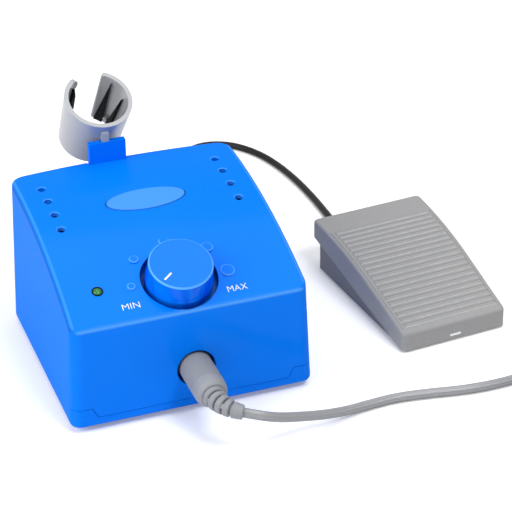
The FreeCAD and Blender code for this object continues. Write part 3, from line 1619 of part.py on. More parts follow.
def under_tread(offset):
    """Everything in the pedal's frame under the treadle's top moved out by offset."""
    reach = 1.5 * pedal_half
    side = -pedal_rear_width
    bend_y = tread_bend_y - offset * math.sin(tread_angle)
    middle_y = (bend_y + pedal_half) / 2
    front = Vector(side, -reach, tread_at(-reach, offset))
    bend = Vector(side, bend_y, tread_at(bend_y, offset))
    rear = Vector(side, reach, tread_at(reach, offset))
    low_rear = Vector(side, reach, -60)
    low_front = Vector(side, -reach, -60)
    arch = Part.Arc(bend, Vector(side, middle_y, tread_at(middle_y, offset)), rear).toShape()
    outline = Part.Wire([Part.makeLine(front, bend), arch, Part.makeLine(rear, low_rear),
                         Part.makeLine(low_rear, low_front), Part.makeLine(low_front, front)])
    return Part.Face(outline).extrude(X_AXIS * 2 * pedal_rear_width)


def underside_at(y):
    return tread_at(y, -tread_top_thickness)


def pedal_half_width(y):
    share = (y + pedal_half) / pedal_length
    return (pedal_front_width + (pedal_rear_width - pedal_front_width) * share) / 2


def pedal_column(inset, rear, bottom, top):
    """Column on the pedal's outline drawn in by inset and ended at rear."""
    radius = max(pedal_corner - inset, pedal_least_corner)
    front = inset - pedal_half
    corners = [(-pedal_half_width(front) + inset, front), (pedal_half_width(front) - inset, front),
               (pedal_half_width(rear) - inset, rear), (-pedal_half_width(rear) + inset, rear)]
    points = [Vector(x, y, bottom) for x, y in corners]
    column = prism(points, Z_AXIS * (top - bottom))
    upright_edges = [edge for edge in column.Edges
                     if abs(edge.Vertexes[0].Point.z - edge.Vertexes[1].Point.z) > 1]
    return column.makeFillet(radius, upright_edges)


def under_slope(front_height, rear_height):
    """Everything in the pedal's frame under a slope from its front edge to its rear edge."""
    slope = (rear_height - front_height) / pedal_length
    reach = 1.5 * pedal_half
    near = front_height - slope * (reach - pedal_half)
    far = rear_height + slope * (reach - pedal_half)
    side = -pedal_rear_width
    outline = [Vector(side, -reach, near), Vector(side, reach, far), Vector(side, reach, -60),
               Vector(side, -reach, -60)]
    return prism(outline, X_AXIS * 2 * pedal_rear_width)


def tread_ribs():
    """Low ribs across the treadle that follow its arch."""
    pitch = (tread_rib_rear_y - tread_rib_front_y) / (tread_rib_count - 1)
    base = tread_rib_width / 2
    crest = tread_rib_crest / 2
    ribs = []
    for number in range(tread_rib_count):
        y = tread_rib_front_y + number * pitch
        left = tread_rib_left_inset - pedal_half_width(y)
        right = pedal_half_width(y) - tread_rib_right_inset
        outline = [Vector(left, -base, -0.5), Vector(left, base, -0.5), Vector(left, base, 0),
                   Vector(left, crest, tread_rib_height), Vector(left, -crest, tread_rib_height),
                   Vector(left, -base, 0)]
        seat = Placement(Vector(0, y, tread_at(y)), Rotation(X_AXIS, tread_tilt_at(y)))
        ribs.append(placed(prism(outline, X_AXIS * (right - left)), seat))
    return ribs


def tread_beads():
    """Thin raised line along each side of the ribs."""
    band = under_tread(tread_bead_height).cut(under_tread(-tread_top_thickness / 2))
    front = tread_rib_front_y - tread_rib_width / 2
    rear = tread_rib_rear_y + tread_rib_width / 2
    beads = []
    inner_inset = tread_bead_inset + tread_bead_width
    for side in (-1, 1):
        outline = []
        for y, inset in ((front, tread_bead_inset), (rear, tread_bead_inset),
                         (rear, inner_inset), (front, inner_inset)):
            outline.append(Vector(side * (pedal_half_width(y) - inset), y, 0))
        beads.append(prism(outline, Z_AXIS * 60).common(band))
    return beads


def spring_seat_z():
    return underside_at(spring_y) - spring_seat_drop


def plunger_y():
    return hinge_y + switch_lever_arm


def plunger_top():
    return underside_at(plunger_y()) - plunger_drop


def tread_rim(shape):
    """Edges round the treadle's top, without the seam between its slope and its arch."""
    rim = []
    for edge in shape.Edges:
        ends = [end.Point for end in edge.Vertexes]
        on_top = all(abs(end.z - tread_at(end.y)) < fit for end in ends)
        seam_line = all(abs(end.y - tread_bend_y) < fit for end in ends)
        if on_top and not seam_line:
            rim.append(edge)
    return rim


def cross_rod(radius, low_x, high_x):
    """Rod along the pedal's hinge."""
    return rod(radius, Vector(low_x, hinge_y, hinge_z), Vector(high_x, hinge_y, hinge_z))


def treadle():
    """Hinged foot plate with a skirt, ribs, hinge lugs, spring boss and switch boss."""
    column = pedal_column(0, pedal_half, -5, 60)
    outer = column.common(under_tread(0))
    outer = outer.makeFillet(tread_edge_radius, tread_rim(outer))
    hollow = pedal_column(tread_wall, pedal_half - tread_wall, -10, 60)
    hollow = hollow.common(under_tread(-tread_top_thickness))
    shell = outer.cut([hollow, under_slope(skirt_front_height, skirt_rear_height)])
    parts = [shell] + tread_ribs() + tread_beads()
    for side in (-1, 1):
        low_x = min(side * hinge_lug_x, side * (hinge_lug_x + hinge_lug_width))
        high_x = low_x + hinge_lug_width
        parts.append(cross_rod(hinge_lug_radius, low_x, high_x))
        parts.append(block(low_x, high_x, hinge_y - hinge_lug_radius, hinge_y + hinge_lug_radius,
                           hinge_z, underside_at(hinge_y) + 1))
    ceiling = under_tread(-0.5)
    parts.append(upright(spring_boss_radius, 0, spring_y, spring_seat_z(), 60).common(ceiling))
    parts.append(upright(plunger_radius + 1, 0, plunger_y(), plunger_top() + 2 * fit, 60).common(ceiling))
    pin_hole = cross_rod(hinge_pin_radius + fit, -60, 60)
    pin_zone = block(-30, 30, hinge_y - 4, hinge_y + 4, 0, 20)
    return placed(joined(*parts).cut(pin_hole.common(pin_zone)), pedal_frame)


def pedal_base():
    """Wedge-shaped tray under the treadle, with lugs for the hinge pin and a spring peg."""
    inset = tread_wall + base_gap
    ceiling = under_tread(-tread_top_thickness - press_clearance)
    ceiling.rotate(Vector(0, hinge_y, hinge_z), X_AXIS, -press_angle)
    outer = pedal_column(inset, base_rear_y, pedal_foot_top, 60).common(ceiling)
    hollow = pedal_column(inset + base_wall, base_rear_y - base_wall, base_floor, 70)
    parts = [outer.cut(hollow)]
    lug_start = hinge_lug_x + hinge_lug_width + hinge_lug_gap
    for side in (-1, 1):
        low_x = min(side * lug_start, side * (lug_start + hinge_lug_width))
        high_x = low_x + hinge_lug_width
        parts.append(block(low_x, high_x, hinge_y - hinge_lug_radius, hinge_y + hinge_lug_radius,
                           base_floor - 0.5, hinge_z))
        parts.append(cross_rod(hinge_lug_radius - 0.4, low_x, high_x))
    peg_radius = spring_radius - spring_wire / 2 - 0.5
    parts.append(upright(peg_radius, 0, spring_y, base_floor - 0.5, base_floor + 4))
    pin_end = lug_start + hinge_lug_width
    tools = [cross_rod(hinge_pin_radius + fit / 2, -pin_end - 1, pin_end + 1),
             rod(pedal_relief_radius + fit, Vector(pedal_relief_x, base_rear_y - 5, pedal_relief_z),
                 Vector(pedal_relief_x, base_rear_y + 5, pedal_relief_z))]
    return placed(joined(*parts).cut(tools), pedal_frame)


def pedal_hinge_pin():
    """Steel pin through the lugs of the foot plate and the tray."""
    end = hinge_lug_x + 2 * hinge_lug_width + hinge_lug_gap
    return placed(cross_rod(hinge_pin_radius, -end, end), pedal_frame)


def return_spring():
    """Coil spring between the tray and the treadle's boss."""
    low = base_floor + fit + spring_wire / 2
    high = spring_seat_z() - fit - spring_wire / 2
    helix = Part.makeHelix((high - low) / spring_turns, high - low, spring_radius)
    start = Vector(spring_radius, 0, 0)
    section = Part.Wire(Part.Circle(start, Vector(0, 1, 0), spring_wire / 2).toShape())
    coil = Part.Wire(helix.Edges).makePipeShell([section], True, True)
    coil.translate(Vector(0, spring_y, low))
    return placed(coil, pedal_frame)


def micro_switch():
    """Push switch under the treadle, with a well for its plunger and three tags."""
    y = plunger_y()
    top = base_floor + fit + micro_height
    body = block(-micro_length / 2, micro_length / 2, y - micro_width / 2, y + micro_width / 2,
                 base_floor + fit, top)
    tags = [block(x - 0.3, x + 0.3, y + micro_width / 2 - 0.5, y + micro_width / 2 + 4,
                  base_floor + 2, base_floor + 5) for x in (-7, 0, 7)]
    well = upright(plunger_radius + fit, 0, y, base_floor + 1.2, top + 1)
    return placed(joined(body, *tags).cut(well), pedal_frame)


def switch_plunger():
    bottom = plunger_top() - 1.4 * switch_lever_arm * math.radians(press_angle)
    return placed(upright(plunger_radius, 0, plunger_y(), bottom - 2.0, plunger_top()), pedal_frame)


def pedal_feet():
    """Four thin rubber pads under the pedal."""
    return [placed(upright(pedal_foot_radius, side * pedal_foot_x, y, 0, pedal_foot_height), pedal_frame)
            for side in (-1, 1) for y in (pedal_foot_front_y, pedal_foot_rear_y)]


def pedal_strain_relief():
    """Bend relief of the lead in the pedal's rear wall."""
    front = base_rear_y - base_wall
    end = base_rear_y + pedal_relief_length
    profile = [(0, front - 2), (pedal_relief_radius + 1, front - 2), (pedal_relief_radius + 1, front - fit),
               (pedal_relief_radius, front - fit), (pedal_relief_radius, base_rear_y + 1),
               (pedal_cord_diameter / 2 + 0.8, end), (0, end)]
    backward = Placement(Vector(pedal_relief_x, 0, pedal_relief_z), Rotation(X_AXIS, -90))
    return placed(placed(turned(profile), backward), pedal_frame)


CORD_NODES = ("motor_cord", "motor_cord_coil", "motor_connector", "plug_body", "plug_pins",
              "plug_strain_relief", "pedal_cord", "pedal_cord_coil")

BUILDERS = (top_cover, base_pan, rubber_feet, cover_screws, name_badge, speed_knob, pot_shaft, pot_body,
            pot_nut, status_led, led_retainer, motor_socket, socket_contacts, socket_nut, plug_body, plug_pins,
            plug_strain_relief, motor_cord, motor_connector, cradle_bracket, bracket_screws, handpiece_cradle,
            cradle_grips, rear_panel, panel_screws, mains_inlet, inlet_pins, power_switch_frame, power_rocker,
            fuse_holder, fuse_cap, fuse_link, pedal_cord_gland, transformer_core, transformer_bobbin,
            transformer_winding, transformer_clamp, transformer_screws, board_standoffs, circuit_board,
            board_screws, capacitors, bridge_rectifier, heat_sink, power_transistor, terminal_block, treadle,
            pedal_base, pedal_hinge_pin, return_spring, micro_switch, switch_plunger, pedal_feet,
            pedal_strain_relief, pedal_cord)


def build_nodes():
    """Shape of every node: one solid, or a group of like solids."""
    for builder in BUILDERS:
        made = builder()
        nodes[builder.__name__] = made if isinstance(made, list) else [made]
    nodes["motor_cord_coil"] = [motor_coil.solid("motor_cord_coil")]
    nodes["pedal_cord_coil"] = [pedal_coil.solid("pedal_cord_coil")]


def solids_of(shapes):
    solids = []
    for shape in shapes:
        solids += shape.Solids
    return solids


def shift_to_middle():
    """Move that brings the middle of the set, its leads left out, to the origin."""
    box = FreeCAD.BoundBox()
    for name, shapes in nodes.items():
        if name not in CORD_NODES:
            for shape in shapes:
                box.add(shape.optimalBoundingBox(False, False))
    return Vector(-box.Center.x, -box.Center.y, 0)


def main():
    os.makedirs("parts", exist_ok=True)
    build_nodes()
    shift = shift_to_middle()
    print(f"shift {shift.x:.4f} {shift.y:.4f}")
    for name, shapes in nodes.items():
        solids = solids_of(shapes)
        for solid in solids:
            solid.translate(shift)
        shape = solids[0] if len(solids) == 1 else Part.makeCompound(solids)
        if not shape.isValid():
            print(f"{name} is not valid")
        print(f"{name}: {len(solids)} solids, {shape.Volume:.0f} cubic mm")
        shape.exportStep(f"parts/{name}.step")


main()
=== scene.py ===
"""Dental lab micromotor set: finishes, leads, markings, lights and camera for the packed model.

Lengths are in metres and the frame is the model's: X to the right, Y to the back, Z up.
"""

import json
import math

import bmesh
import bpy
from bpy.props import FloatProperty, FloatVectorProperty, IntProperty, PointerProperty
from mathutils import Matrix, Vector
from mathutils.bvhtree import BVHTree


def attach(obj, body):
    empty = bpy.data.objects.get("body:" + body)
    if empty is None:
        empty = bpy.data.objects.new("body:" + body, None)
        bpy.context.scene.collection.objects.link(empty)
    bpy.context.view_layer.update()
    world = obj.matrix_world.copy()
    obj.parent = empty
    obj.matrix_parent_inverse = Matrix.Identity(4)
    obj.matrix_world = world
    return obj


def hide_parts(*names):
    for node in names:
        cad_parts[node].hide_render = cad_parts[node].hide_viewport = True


bl_info = {
    "name": "Lab micromotor set",
    "version": (1, 0, 0),
    "blender": (4, 5, 0),
    "location": "View3D > Sidebar > Micromotor",
    "description": "Finishes, leads, markings and stage of a dental lab micromotor",
    "category": "Object",
}

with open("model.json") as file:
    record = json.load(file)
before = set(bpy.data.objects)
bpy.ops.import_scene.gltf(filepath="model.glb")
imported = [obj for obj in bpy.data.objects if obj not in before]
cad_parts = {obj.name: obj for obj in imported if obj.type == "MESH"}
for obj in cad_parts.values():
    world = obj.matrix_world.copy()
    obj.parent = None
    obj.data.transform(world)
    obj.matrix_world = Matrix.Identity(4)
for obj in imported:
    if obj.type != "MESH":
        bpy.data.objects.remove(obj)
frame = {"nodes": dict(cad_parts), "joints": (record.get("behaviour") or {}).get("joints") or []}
nodes = frame["nodes"]
joints = {joint["name"]: joint for joint in frame["joints"]}
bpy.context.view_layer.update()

MM = 0.001
SENSOR_WIDTH = 36.0
BOX_MIDDLE = Vector((-0.0624337, -0.0214273, 0.0))
PEDAL_TURN = math.radians(4.9)
PEDAL_MIDDLE = Vector((0.1557, 0.00245, 0.0)) + BOX_MIDDLE

# What the painted shade and painted highlights in the finishes follow on the cover, the knob and the foot
# plate.
# A pair is a middle and its reach to either side. A shine or a shadow is a pair too: its peak and the
# distance that takes 1 off it.
# Blue of the painted highlights on the edges and rims
EDGE_HIGHLIGHT_BLUE = (0.12, 0.42, 0.95)
DISH_RADIUS = 21.5 * MM
DISH_FIELD = (-3.6 * MM, 3.1 * MM)
DOT_CIRCLE = 26.8 * MM
DOTS = tuple((math.radians(angle), (2.3 + 0.4125 * number) * MM)
             for number, angle in enumerate((180.7, 138.2, 90.5, 38.8, -3.5)))
DOT_ROUND = 0.30 * MM
# Width of the painted highlight round the edge of each dot
DOT_HIGHLIGHT_WIDTH = 0.32 * MM
KNOB_TOP = 11.0 * MM
KNOB_RIM = (17.1 * MM, 0.42 * MM)
POINTER_TURN = math.radians(216.7)
BADGE_MIDDLE = Vector((0.0011, 0.01585, 0.06)) + BOX_MIDDLE
BADGE_HALF = Vector((22.4 * MM, 9.1 * MM))
BADGE_GROOVE = (1.025, 0.025)
FRONT_EDGE = Vector((0.0, -0.08860, 0.06320))
FRONT_SHINE = (0.80, 1.8 * MM)
TOP_CENTRE = Vector((0.0, 0.05064, -0.18847)) + BOX_MIDDLE
TOP_RADIUS = 279.01 * MM
SIDE_LEAN = 0.041
SIDE_FACE = 76.48 * MM
EDGE_RADIUS = 2.2 * MM
SIDE_SHADOW = (1.0, 1.7 * MM)
SHINE_INSET = 1.5 * MM
SIDE_SHINE = (0.38, 3.0 * MM)
VENT_X = 51.0 * MM
VENT_START = -4.55 * MM
VENT_PITCH = 13.6 * MM
VENT_COUNT = 4
VENT_RIM = (2.55 * MM, 0.30 * MM)
RIB_PITCH = 4.4316 * MM
RIB_START = -49.7 * MM
RIB_FIELD_X = (0.5 * MM, 30.4 * MM)
RIB_FIELD_Y = (-7.6 * MM, 43.9 * MM)
RIB_GROOVE = (0.45, 0.08)
RIB_CREST = (-0.22, 0.07)


def length(name, default, description):
    """Setting for a length."""
    return FloatProperty(name=name, description=description, default=default, unit="LENGTH", precision=5)


def colour(name, default, description):
    """Setting for a linear colour."""
    return FloatVectorProperty(name=name, description=description, default=default, size=3, subtype="COLOR",
                               min=0.0, max=1.0)


class CameraProperties(bpy.types.PropertyGroup):
    """Where the photograph was taken from."""

    position: FloatVectorProperty(
        name="Position", description="Lens position", size=3, subtype="TRANSLATION",
        default=(-0.342234, -0.989318, 0.647660))
    azimuth: FloatProperty(
        name="Azimuth", description="How far to the left of the front the camera stands", subtype="ANGLE",
        default=math.radians(19.34))
    elevation: FloatProperty(
        name="Elevation", description="How far the camera looks down", subtype="ANGLE",
        default=math.radians(30.32))
    roll: FloatProperty(
        name="Roll", description="Turn of the picture about its middle", subtype="ANGLE",
        default=math.radians(-0.8045))
    lens: FloatProperty(
        name="Lens", description="Focal length in millimetres on a 36 mm frame", default=147.66)


class LeadProperties(bpy.types.PropertyGroup):
    """Sizes of the two leads and of their put-away coils."""

    motor_diameter: length("Motor lead", 5.3 * MM, "Diameter of the ridged motor lead")
    motor_coil_outer: length("Motor coil", 37.5 * MM, "Outer radius of the motor lead's coil")
    motor_coil_step: length("Motor coil step", 5.8 * MM, "Distance from turn to turn")
    motor_ridges: IntProperty(
        name="Ridges", description="Lengthwise ridges on the motor lead", default=8, min=6)
    motor_ridge_depth: length("Ridge depth", 0.65 * MM, "Depth of the motor lead's ridges")
    pedal_diameter: length("Pedal lead", 4.4 * MM, "Diameter of the smooth pedal lead")
    pedal_coil_outer: length("Pedal coil", 31.5 * MM, "Outer radius of the pedal lead's coil")
    pedal_coil_step: length("Pedal coil step", 4.9 * MM, "Distance from turn to turn")
    layer_gap: length("Layer gap", 0.45 * MM, "Gap between a coil's two layers")
    floor_gap: length("Floor gap", 0.05 * MM, "Gap between a lead and the floor")
    layer_turns: FloatProperty(name="Turns", description="Turns in each layer of a coil", default=3.25)
    points_per_turn: IntProperty(name="Points", description="Route points in each turn", default=16, min=12)


class ColourProperties(bpy.types.PropertyGroup):
    """Colours of the set, as linear values."""

    shell: colour("Shell", (0.001, 0.190, 0.900), "Blue of the cover, pan and bracket")
    knob: colour("Knob", (0.001, 0.185, 0.880), "Blue of the speed knob")
    badge: colour("Badge", (0.060, 0.290, 0.880), "Lighter blue of the blank plate")
    paint: colour("Paint", (0.90, 0.92, 0.94), "White of the words and the pointer")
    cradle: colour("Cradle", (0.36, 0.37, 0.39), "Grey of the handpiece cradle")
    plug: colour("Plug", (0.270, 0.280, 0.300), "Grey of the plug and its bend relief")
    motor_lead: colour("Motor lead", (0.30, 0.305, 0.32), "Grey of the motor lead")
    treadle: colour("Treadle", (0.325, 0.325, 0.328), "Grey of the pedal's foot plate")
    tray: colour("Tray", (0.22, 0.22, 0.225), "Darker grey of the pedal's tray")
    rubber: colour("Rubber", (0.006, 0.006, 0.006), "Black of rubber and of the pedal lead")
    housing: colour("Black plastic", (0.016, 0.016, 0.018), "Black of moulded fittings")
    lamp: colour("Lamp", (0.002, 0.140, 0.014), "Green of the lamp")
    board: colour("Board", (0.010, 0.130, 0.045), "Green of the circuit board")


class LightProperties(bpy.types.PropertyGroup):
    """Strength of the studio lights."""

    key: FloatProperty(name="Key", description="Watts of the softbox at the left", default=14.0)
    edge: FloatProperty(name="Edge", description="Watts of the softbox that lights the edges", default=7.5)
    top: FloatProperty(name="Top", description="Watts of the softbox above", default=12.5)
    room: FloatProperty(name="Room", description="Strength of the light from all round", default=0.22)


GROUPS = {"micromotor_camera": CameraProperties, "micromotor_leads": LeadProperties,
          "micromotor_colours": ColourProperties, "micromotor_lights": LightProperties}


def leads():
    return bpy.context.scene.micromotor_leads


def colours():
    return bpy.context.scene.micromotor_colours


def lights():
    return bpy.context.scene.micromotor_lights


# Shader kit

class Signal:
    """A socket in a shader that can be used in plain arithmetic."""

    def __init__(self, shader, socket):
        self.shader = shader
        self.socket = socket

    def combine(self, operation, first, second):
        return self.shader.node("ShaderNodeMath", {"operation": operation}, {0: first, 1: second})["Value"]

    def __add__(self, other):
        return self.combine("ADD", self, other)

    def __sub__(self, other):
        return self.combine("SUBTRACT", self, other)

    def __mul__(self, other):
        return self.combine("MULTIPLY", self, other)

    def __truediv__(self, other):
        return self.combine("DIVIDE", self, other)

    def __rsub__(self, other):
        return self.combine("SUBTRACT", other, self)

    def __gt__(self, other):
        return self.combine("GREATER_THAN", self, other)

    def __lt__(self, other):
        return self.combine("LESS_THAN", self, other)

    def __abs__(self):
        return self.combine("ABSOLUTE", self, 0.0)

    def floor(self):
        return self.combine("FLOOR", self, 0.0)

    __radd__ = __add__
    __rmul__ = __mul__


class Shader:
    """A material with one way to make any node."""

    def __init__(self, name):
        self.material = bpy.data.materials.new(name)
        self.material.use_nodes = True
        self.tree = self.material.node_tree
        self.tree.nodes.clear()

    def node(self, kind, settings=None, inputs=None):
        """Makes a node and returns its outputs as signals by name."""
        made = self.tree.nodes.new(kind)
        for name, value in (settings or {}).items():
            setattr(made, name, value)
        for name, value in (inputs or {}).items():
            if isinstance(value, Signal):
                self.tree.links.new(value.socket, made.inputs[name])
            else:
                made.inputs[name].default_value = value
        return {socket.name: Signal(self, socket) for socket in reversed(made.outputs) if socket.enabled}

    def place(self):
        """The shaded point in the model's frame."""
        return self.node("ShaderNodeTexCoord")["Object"]

    def noise(self, scale, detail=2.0, roughness=0.5, at=None):
        return self.node("ShaderNodeTexNoise", None, {
            "Vector": at or self.place(), "Scale": scale, "Detail": detail, "Roughness": roughness})["Fac"]

    def bands(self, axis, scale, distortion):
        return self.node("ShaderNodeTexWave", {"wave_type": "BANDS", "bands_direction": axis}, {
            "Vector": self.place(), "Scale": scale, "Distortion": distortion, "Detail": 1.0})["Fac"]

    def bump(self, height, distance):
        return self.node("ShaderNodeBump", None, {
            "Height": height, "Distance": distance, "Strength": 1.0})["Normal"]

    def tint(self, factor, first, second):
        ends = [value if isinstance(value, Signal) else (*value, 1.0) for value in (first, second)]
        return self.node("ShaderNodeMix", {"data_type": "RGBA"}, {
            "Factor": factor, 6: ends[0], 7: ends[1]})["Result"]

    def measured_from(self, matrix):
        """X, Y and Z of the shaded point in the frame that a matrix places."""
        moved = self.node("ShaderNodeMapping", {"vector_type": "TEXTURE"}, {
            "Vector": self.place(), "Location": matrix.to_translation(), "Rotation": matrix.to_euler()})
        parts = self.node("ShaderNodeSeparateXYZ", None, {"Vector": moved["Vector"]})
        return parts["X"], parts["Y"], parts["Z"]

    def near(self, value, middle, reach):
        """1 where a value lies within reach of a middle, and 0 elsewhere."""
        return self.node("ShaderNodeMath", {"operation": "COMPARE"}, {0: value, 1: middle, 2: reach})["Value"]

    def radius(self, x, y):
        """Length of the line that two measures at right angles give."""
        squared = x * x + y * y
        return squared.combine("POWER", squared, 0.5)

    def fading(self, distance, peak, reach):
        """A peak where there is no distance, and 1 less for each reach of distance."""
        return peak - distance / reach

    def streaked(self, scale, stretch):
        """Noise drawn out along the axes where stretch is small."""
        drawn = self.node("ShaderNodeMapping", None, {"Vector": self.place(), "Scale": stretch})
        return self.noise(scale, at=drawn["Vector"])

    def surface(self, inputs):
        """Ends the material in a Principled surface."""
        return self.finish(self.node("ShaderNodeBsdfPrincipled", None, inputs)["BSDF"])

    def finish(self, made):
        self.node("ShaderNodeOutputMaterial", None, {"Surface": made})
        return self.material


def shade(value, amount):
    """A colour made lighter or darker."""
    return tuple(min(1.0, part * amount) for part in value)


# Finishes

def moulded(name, base, roughness, grain, depth, gloss=0.35, coat=0.0, marks=None):
    """Injection-moulded plastic: fine spark grain, slow drift in tone and gloss, and its own marks."""
    shader = Shader(name)
    slow = shader.noise(14.0, detail=3.0)
    fine = shader.noise(grain, detail=3.0, roughness=0.6)
    tone = shader.tint(slow, shade(base, 0.96), shade(base, 1.04))
    return shader.surface({
        "Base Color": marks(shader, tone, base) if marks else tone,
        "Roughness": roughness - 0.05 + slow * 0.06 + fine * 0.04,
        "Specular IOR Level": gloss,
        "Coat Weight": coat * (0.85 + slow * 0.3) if coat else 0.0,
        "Coat Roughness": 0.16,
        "Normal": shader.bump(fine, depth)})


def knob_place():
    """Frame on the knob's axis, with its Z out of the cover."""
    return joint_place("knob_turn", (1, 0, 0))


def dish_shade(shader, tone, base):
    """Painted shade in the dish under the knob."""
    x, y, height = shader.measured_from(knob_place())
    dish = (shader.radius(x, y) < DISH_RADIUS) * shader.near(height, *DISH_FIELD)
    return shader.tint(dish * 0.7, tone, shade(base, 0.12))


def dot_rim_highlight(shader, tone, base):
    """Painted highlight round the edges of the raised dots."""
    x, y, _ = shader.measured_from(knob_place())
    for angle, size in DOTS:
        across = x - DOT_CIRCLE * math.cos(angle)
        along = y - DOT_CIRCLE * math.sin(angle)
        edge = shader.near(shader.radius(across, along), size - DOT_ROUND, DOT_HIGHLIGHT_WIDTH)
        tone = shader.tint(edge * 0.7, tone, EDGE_HIGHLIGHT_BLUE)
    return tone


def plate_groove(shader, tone, base):
    """Shaded groove round the name plate."""
    x, y, level = shader.measured_from(Matrix.Translation(BADGE_MIDDLE))
    oval = shader.radius(x / BADGE_HALF.x, y / BADGE_HALF.y)
    groove = shader.near(oval, *BADGE_GROOVE) * (level > 0.0)
    return shader.tint(groove * 0.75, tone, shade(base, 0.4))


def front_edge_shine(shader, tone, base):
    """Lit line where the top rolls over into the front."""
    _, out, up = shader.measured_from(Matrix.Translation(FRONT_EDGE))
    return shader.tint(shader.fading(shader.radius(out, up), *FRONT_SHINE), tone, EDGE_HIGHLIGHT_BLUE)


def side_edge_shine(shader, tone, base):
    """Painted highlight along the rounded side edges of the top, with a line of painted shade below it."""
    wide, back, up = shader.measured_from(Matrix.Translation(TOP_CENTRE))
    inward = SIDE_FACE - abs(wide) - up * SIDE_LEAN
    depth = TOP_RADIUS - shader.radius(back, up)
    shadow = shader.fading(shader.radius(inward, depth - EDGE_RADIUS), *SIDE_SHADOW)
    tone = shader.tint(shadow, tone, shade(base, 0.5))
    shine = shader.fading(shader.radius(inward - SHINE_INSET, depth), *SIDE_SHINE)
    return shader.tint(shine, tone, EDGE_HIGHLIGHT_BLUE)


def vent_rim_highlight(shader, tone, base):
    """Painted highlight on the rear rims of the vent holes, which stand in a row on either side."""
    side, back, level = shader.measured_from(Matrix.Translation(BOX_MIDDLE + Vector((0, VENT_START, 0))))
    turn = back / VENT_PITCH
    along = (turn - turn.floor() - 0.5) * VENT_PITCH
    rim_highlight = shader.near(shader.radius(abs(side) - VENT_X, along), *VENT_RIM)
    in_row = shader.near(turn, VENT_COUNT / 2, VENT_COUNT / 2) * (along > 0.0) * (level > BADGE_MIDDLE.z)
    return shader.tint(rim_highlight * in_row * 0.45, tone, EDGE_HIGHLIGHT_BLUE)


def shell_marks(shader, tone, base):
    """Every mark of the blue shell: painted shade in the dish, the plate's groove and below the side edges,
    and painted highlights on the dots, the edges and the vent rims.
    """
    for mark in (dish_shade, dot_rim_highlight, plate_groove, front_edge_shine, side_edge_shine, vent_rim_highlight):
        tone = mark(shader, tone, base)
    return tone


def knob_marks(shader, tone, base):
    """Painted highlight on the rim, and painted shade on the side with faint painted reflections drawn out
    along it.
    """
    x, y, height = shader.measured_from(knob_place())
    reflection_streaks = shader.streaked(130.0, (1, 1, 0.05))
    # Painted shade: the knob's blue darkened for its side
    dark = (base[0], base[1] * 0.45, base[2] * 0.95)
    side = shader.tint(reflection_streaks * 3.0 - 1.0, dark, shade(base, 1.1))
    tone = shader.tint(height < KNOB_TOP, tone, side)
    rim_highlight = shader.near(shader.radius(x, y), *KNOB_RIM) * (height > KNOB_TOP)
    return shader.tint(rim_highlight * 0.8, tone, EDGE_HIGHLIGHT_BLUE)


def rib_marks(shader, tone, base):
    """Ribs of the foot plate: painted highlight along their front edge, broken up by noise, and painted shade
    in the grooves.
    """
    x, y, _ = shader.measured_from(pedal_place())
    field = shader.near(x, *RIB_FIELD_X) * shader.near(y, *RIB_FIELD_Y)
    turn = (y - RIB_START) / RIB_PITCH
    signed = turn - (turn + 0.5).floor()
    groove = shader.near(signed, *RIB_GROOVE) * field
    crest = shader.near(signed, *RIB_CREST) * field
    # Noise that breaks up the painted highlight on the crests
    wear_and_sheen = shader.noise(260.0, detail=3.0, roughness=0.7)
    tone = shader.tint(groove * 0.45, tone, shade(base, 0.35))
    return shader.tint(crest * (wear_and_sheen * 1.2 - 0.15), tone, shade(base, 1.7))


def speckled(name, base, roughness, grain, depth, marks=None):
    """Coarse matt moulding with light and dark flecks, as on the pedal."""
    shader = Shader(name)
    slow = shader.noise(10.0)
    fleck = shader.noise(grain, detail=4.0, roughness=0.75)
    tone = shader.tint(fleck * 1.6 - 0.45 + slow * 0.25, shade(base, 0.88), shade(base, 1.11))
    return shader.surface({
        "Base Color": marks(shader, tone, base) if marks else tone,
        "Roughness": roughness + fleck * 0.08,
        "Specular IOR Level": 0.3,
        "Normal": shader.bump(fleck, depth)})


def rubber(name, base):
    """Matt black rubber with a dusty drift in tone."""
    shader = Shader(name)
    slow = shader.noise(60.0, detail=3.0)
    fine = shader.noise(1800.0)
    return shader.surface({
        "Base Color": shader.tint(slow, shade(base, 0.8), shade(base, 1.25)),
        "Roughness": 0.62 + fine * 0.12,
        "Specular IOR Level": 0.15,
        "Normal": shader.bump(fine, 0.00004)})


def metal(name, base, roughness):
    """Plated or drawn metal with fine lines across Z."""
    shader = Shader(name)
    lines = shader.streaked(900.0, (1, 1, 12))
    cloud = shader.noise(90.0)
    return shader.surface({
        "Base Color": shader.tint(cloud, shade(base, 0.88), base),
        "Metallic": 1.0,
        "Roughness": roughness + lines * 0.12,
        "Normal": shader.bump(lines, 0.00001)})


def painted_mark(name, base):
    """Printed paint, a little worn."""
    shader = Shader(name)
    wear_and_sheen = shader.noise(2500.0, detail=3.0)
    return shader.surface({
        "Base Color": shader.tint(wear_and_sheen, shade(base, 0.93), base),
        "Roughness": 0.45 + wear_and_sheen * 0.1})


def lamp_lens(name, base):
    """Tinted lens with a faint glow inside and a darker edge."""
    shader = Shader(name)
    edge = shader.node("ShaderNodeLayerWeight", None, {"Blend": 0.4})["Facing"]
    cloud = shader.noise(900.0)
    return shader.surface({
        "Base Color": shader.tint(edge, shade(base, 1.2), shade(base, 0.3)),
        "Roughness": 0.10 + cloud * 0.06,
        "Specular IOR Level": 0.1,
        "Emission Color": shader.tint(edge, shade(base, 1.3), shade(base, 0.1)),
        "Emission Strength": 0.15,
        "Coat Weight": 0.7,
        "Coat Roughness": 0.04})


